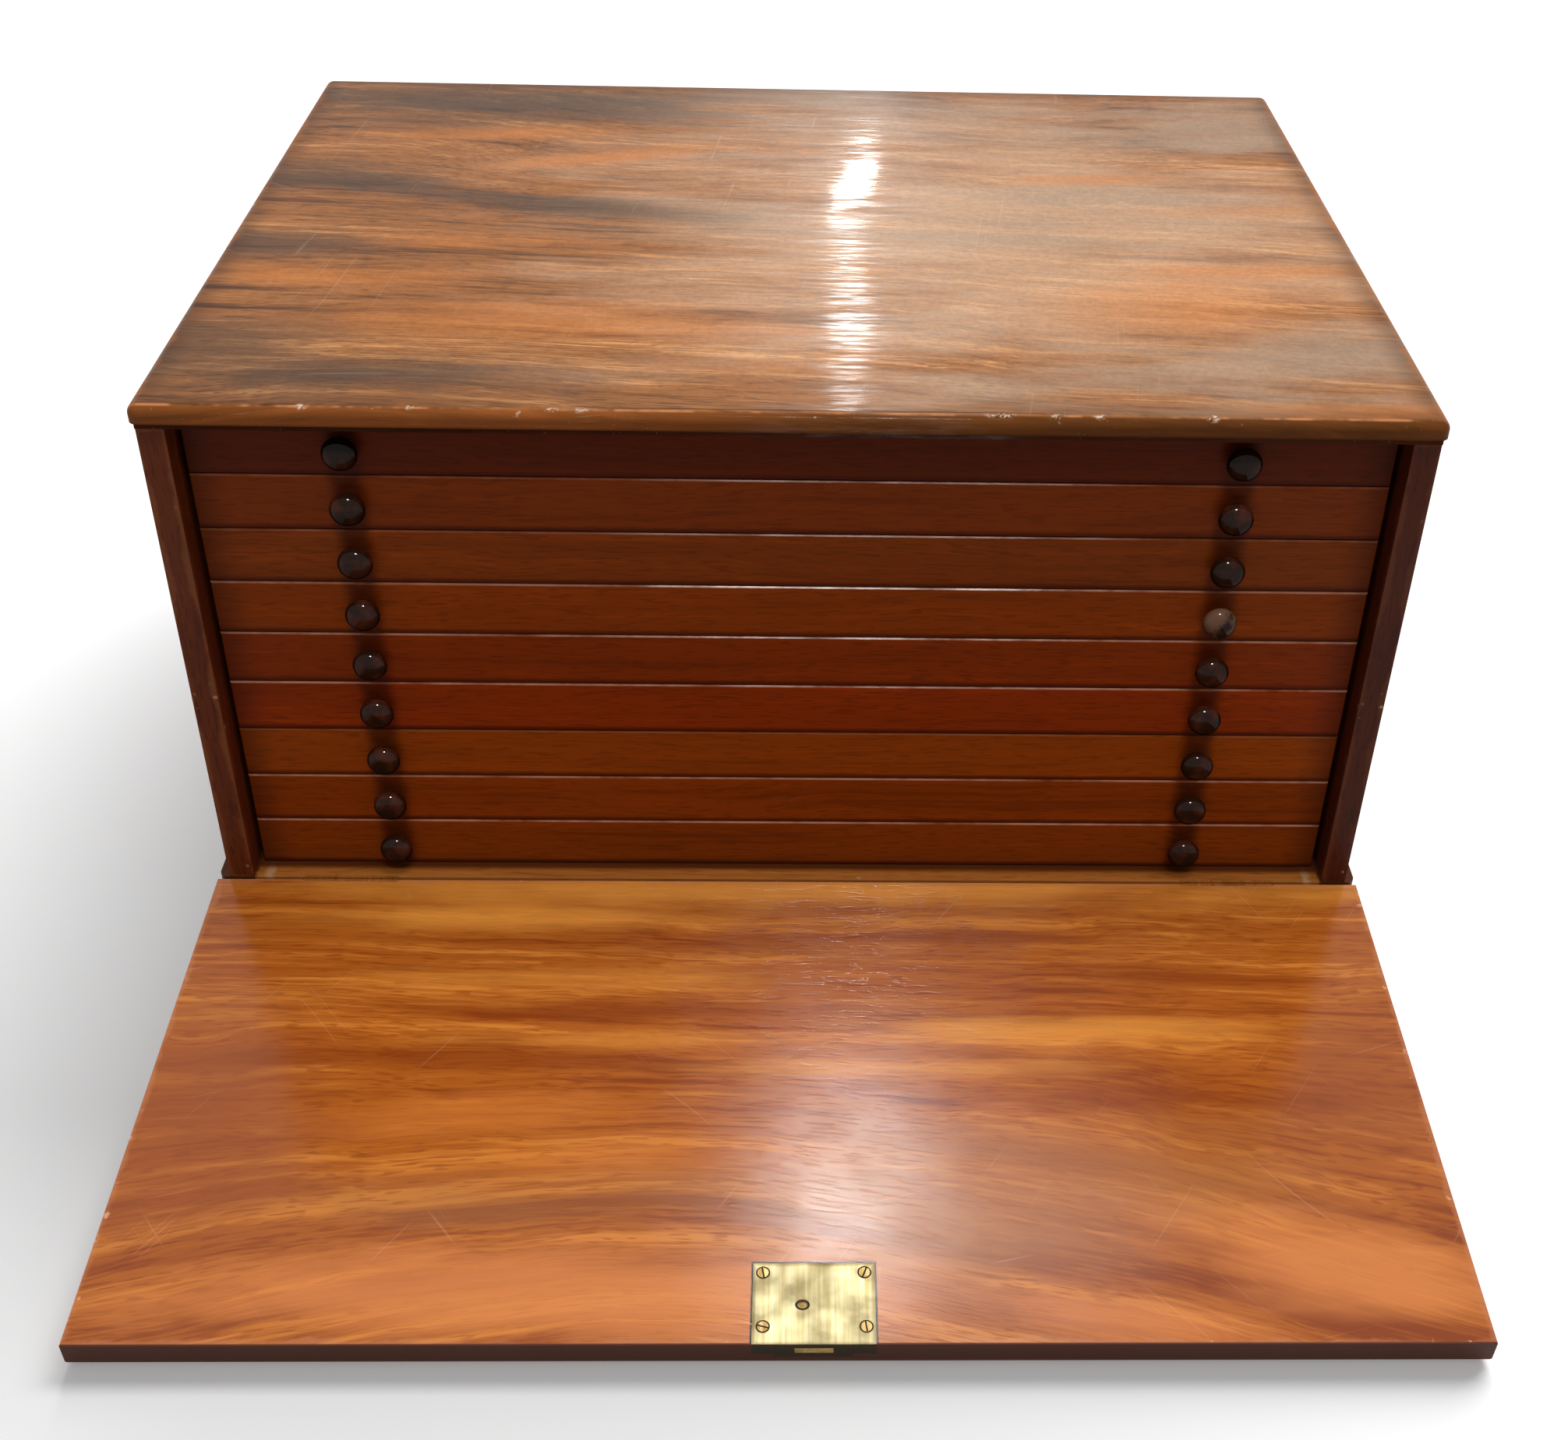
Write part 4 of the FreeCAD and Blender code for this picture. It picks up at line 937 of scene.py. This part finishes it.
def screw_piece(name, body, screws, finishes):
    """Screws in one piece: each is a matrix that sets its head's face, and a head radius in mm."""
    whole = bmesh.new()
    for matrix, radius in screws:
        single = bmesh.new()
        slotted_head(single, radius * MM, 0.08 * MM, radius * 0.30 * MM, 0.35 * MM)
        single.normal_update()
        reach = (radius + 0.32) * MM
        ring = bmesh.ops.create_circle(single, segments=40, radius=reach, cap_ends=True)["verts"]
        bmesh.ops.translate(single, verts=ring, vec=(0, 0, GRIME_LIFT))
        for face in single.faces:
            face.material_index = 1 if all(vert in ring for vert in face.verts) else 0
        bmesh.ops.transform(single, matrix=matrix, verts=single.verts)
        loose = bpy.data.meshes.new("loose")
        single.to_mesh(loose)
        single.free()
        whole.from_mesh(loose)
        bpy.data.meshes.remove(loose)
    piece = finish_mesh(name, whole, finishes, smooth=False)
    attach(piece, body)
    return piece


print("screws are cut by screw_piece")

# %% [markdown]
# The plate's own screws sit near its corners with their slots turned every way, as a maker left them.
# Each is given by x and y in the flap's frame, in millimetres, and by the turn of its slot in degrees.

# %% The lock's screws
SCREW_RADIUS = 1.55
screw_brass = brass_finish("brass_screw", (rgb(150, 118, 66), rgb(206, 176, 116), rgb(84, 62, 34)))[0]
grime, tree, shader, place = new_finish("old_polish")
specks = noise(tree, place, 700.0, 3.0, 0.6)
colour = blended(tree, eased(tree, specks, 0.35, 0.65), rgb(22, 13, 8), rgb(52, 34, 20))
lay_finish(tree, shader, colour, 0.7, specks, bump=0.05, coat=0.0)
plate_screws = []
for x, y, angle in ((-6.4, -144.7, 12), (20.3, -144.6, -20), (-6.2, -160.6, 75), (20.5, -160.6, 8)):
    spot = Matrix.Translation((x * MM, y * MM, FLAP_FACE)) @ Matrix.Rotation(math.radians(angle), 4, "Z")
    plate_screws.append((flap_frame @ spot, SCREW_RADIUS))
lock_screws = screw_piece("lock_screws", "fall_front", plate_screws, [screw_brass, grime])
print("lock screws:", len(plate_screws))

# %% [markdown]
# The rivet between the screws is the end of the pin that the key turns on. It is a low polished dome:
# the upper half of a sphere, flattened, with the same ring of old polish round it.

# %% The key pin's rivet
RIVET_HALF = (1.35 * MM, 1.1 * MM, 0.4 * MM)
form = bmesh.new()
bmesh.ops.create_uvsphere(form, u_segments=36, v_segments=18, radius=1.0)
bmesh.ops.bisect_plane(form, geom=form.verts[:] + form.edges[:] + form.faces[:], plane_co=(0, 0, 0),
                       plane_no=(0, 0, -1), clear_outer=True)
bmesh.ops.scale(form, verts=form.verts, vec=RIVET_HALF)
rivet_spot = flap_frame @ Matrix.Translation((4 * MM, 11.6 * MM - FLAP_HEIGHT, FLAP_FACE))
bmesh.ops.transform(form, matrix=rivet_spot, verts=form.verts)
rivet = finish_mesh("key_pin_rivet", form, [screw_brass])
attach(rivet, "fall_front")
form = bmesh.new()
bmesh.ops.create_circle(form, segments=40, radius=1.75 * MM, cap_ends=True)
bmesh.ops.scale(form, verts=form.verts, vec=(1.1, 0.9, 1))
bmesh.ops.transform(form, matrix=rivet_spot @ Matrix.Translation((0, 0, GRIME_LIFT)), verts=form.verts)
halo = finish_mesh("key_pin_grime", form, [grime], smooth=False)
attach(halo, "fall_front")
print("rivet half size in mm:", [round(side / MM, 2) for side in RIVET_HALF])

# %% [markdown]
# ## Camera
# The camera looks down on the cabinet from close in front, with an ordinary lens. A small shift moves the
# frame without turning the camera, so the uprights keep their slant.

# %% The camera
camera_data = bpy.data.cameras.new("camera")
camera_data.sensor_width = 36
camera_data.lens = 44.42
camera_data.shift_x = -0.0472
camera_data.shift_y = -0.0455
camera_data.clip_start = 0.01
camera = bpy.data.objects.new("camera", camera_data)
camera.location = (1.479 * MM, -601.886 * MM, 436.212 * MM)
camera.rotation_euler = tuple(math.radians(angle) for angle in (55.246, -1.43, -1.143))
bpy.context.scene.collection.objects.link(camera)
bpy.context.scene.camera = camera
print("camera height:", round(camera.location.z, 3), "m")

# %% [markdown]
# ## Floor and surround
# A pale floor runs out of sight under a white surround. Both show white only to the rays that look at
# them: straight from the camera, mirrored in the polish and the brass, or through glass. For the light
# that falls on the cabinet they are much dimmer, so the surround never bleaches the wood.

# %% The floor
def shown_white(tree):
    """1 on the rays that show the surround: to the camera, in a reflection, and through glass."""
    seen = add(tree, "ShaderNodeLightPath").outputs
    shown = sum_of(tree, "MAXIMUM", seen["Is Camera Ray"], seen["Is Glossy Ray"])
    return sum_of(tree, "MAXIMUM", shown, seen["Is Transmission Ray"])


FLOOR_GLOW = 0.20
form = bmesh.new()
bmesh.ops.create_grid(form, x_segments=8, y_segments=8, size=6.0)
floor_finish, tree, shader, place = new_finish("pale_floor")
shown = shown_white(tree)
values = {
    "Base Color": blended(tree, shown, rgb(150, 148, 146), rgb(230, 230, 230)),
    "Roughness": 1.0, "Specular IOR Level": 0.0,
    "Emission Color": (1, 1, 1, 1), "Emission Strength": times(tree, shown, FLOOR_GLOW),
}
for socket, value in values.items():
    fill(tree, shader.inputs[socket], value)
floor = finish_mesh("floor", form, [floor_finish])
print("floor laid")

# %% The surround
AMBIENT = 0.3
world = bpy.data.worlds.new("studio")
world.use_nodes = True
bpy.context.scene.world = world
tree = world.node_tree
tree.nodes.clear()
strength = sum_of(tree, "MULTIPLY_ADD", shown_white(tree), 1 - AMBIENT, AMBIENT)
background = add(tree, "ShaderNodeBackground", {"Color": (1, 1, 1, 1), "Strength": strength})
add(tree, "ShaderNodeOutputWorld", {"Surface": background.outputs[0]})
print("surround's strength on the cabinet:", AMBIENT)

# %% [markdown]
# ## Which pieces a lamp lights
# Light linking ties a lamp to a collection of pieces. Every lamp leaves the floor out, and the floor has
# a light of its own, so each can be set without the other. Two lamps belong to the fall front and its
# lock alone, and one to the knobs.

# %% Light groups
def group_of(name, pieces, kept_out=False):
    """A collection for light linking; a lamp lights its pieces, or everything but them."""
    collection = bpy.data.collections.new(name)
    for piece in pieces:
        collection.objects.link(piece)
    if kept_out:
        for item in collection.collection_objects:
            item.light_linking.link_state = "EXCLUDE"
    return collection


flap_boards = [boards[name] for name in ("fall_front", "lock_case", "escutcheon")]
floor_only = group_of("floor_only", [floor])
not_floor = group_of("not_floor", [floor], kept_out=True)
flap_pieces = group_of("flap_pieces", flap_boards + [lock_screws, rivet, halo])
knob_pieces = group_of("knob_pieces", all_knobs)

# %% [markdown]
# ## Lamps
# The key light is broad, high and a little to the right. It has no mirror image of its own, so it never
# shows as a spot on the polish. Two narrow lamps far behind make the streak on the top: a short bright
# one, tilted about its own axis, and a long dim tail. Two more make the soft shine on the open flap. The
# case would stand in their way, so the pieces that block them are limited to the flap's own. That setting
# works only on light that is aimed at the lamp, so multiple importance sampling, which also finds a lamp
# by chance bounces, is off for these two. Over the viewer's head, one lamp lights the drawers' upper
# arrises and another sparks on the knobs.

# %% The lamps
def lamp(name, place, target, width, height, power, lights=not_floor, blocked_by=None, shine=True, tilt=0.0):
    """An elliptical lamp: its place, what it faces, its width and height in metres, and its watts."""
    data = bpy.data.lights.new(name, "AREA")
    data.shape = "ELLIPSE"
    data.size = width
    data.size_y = height
    data.energy = power
    light = bpy.data.objects.new(name, data)
    light.location = place
    facing = (Vector(target) - Vector(place)).to_track_quat("-Z", "Y").to_matrix()
    light.rotation_euler = (facing @ Matrix.Rotation(math.radians(tilt), 3, "Z")).to_euler()
    light.visible_glossy = shine
    bpy.context.scene.collection.objects.link(light)
    light.light_linking.receiver_collection = lights
    if blocked_by:
        light.light_linking.blocker_collection = blocked_by
        data.cycles.use_multiple_importance_sampling = False


TOP = (0, 0, 0.19)
FLAP = (0, -0.25, 0)
FRONTS = (0, -0.13, 0.1)
flap_only = {"lights": flap_pieces, "blocked_by": flap_pieces}
lamp("key", (0.3, 0.0, 2.2), (0, -0.05, 0), 1.2, 1.2, 32, shine=False)
lamp("streak", (0.096, 2.78, 1.262), TOP, 0.05, 0.15, 1.1, tilt=-24)
lamp("streak_tail", (0.090, 2.78, 1.54), TOP, 0.07, 0.34, 1.8)
lamp("flap_shine", (0.095, 1.45, 2.645), FLAP, 0.24, 0.37, 8.0, **flap_only)
lamp("flap_haze", (0.34, 1.46, 2.76), FLAP, 0.7, 0.4, 2.6, **flap_only)
lamp("over_viewer", (0.10, -1.2, 1.9), FRONTS, 0.6, 0.25, 8)
lamp("knob_spark", (0.05, -1.0, 1.9), FRONTS, 0.3, 0.25, 64, lights=knob_pieces)
print("lamps hung")

# %% [markdown]
# A sun lights the floor alone. It stands behind and to the right, so the shadow falls forward and to the
# left, and its wide disc makes that shadow soft.

# %% The floor's light
slant = bpy.data.lights.new("floor_light", "SUN")
slant.energy = 5.6
slant.angle = math.radians(60)
slant_light = bpy.data.objects.new("floor_light", slant)
slant_light.rotation_euler = Vector((0.84, 1.75, 1.3)).to_track_quat("Z", "Y").to_euler()
slant_light.light_linking.receiver_collection = floor_only
bpy.context.scene.collection.objects.link(slant_light)
bpy.context.scene.view_settings.view_transform = "Standard"
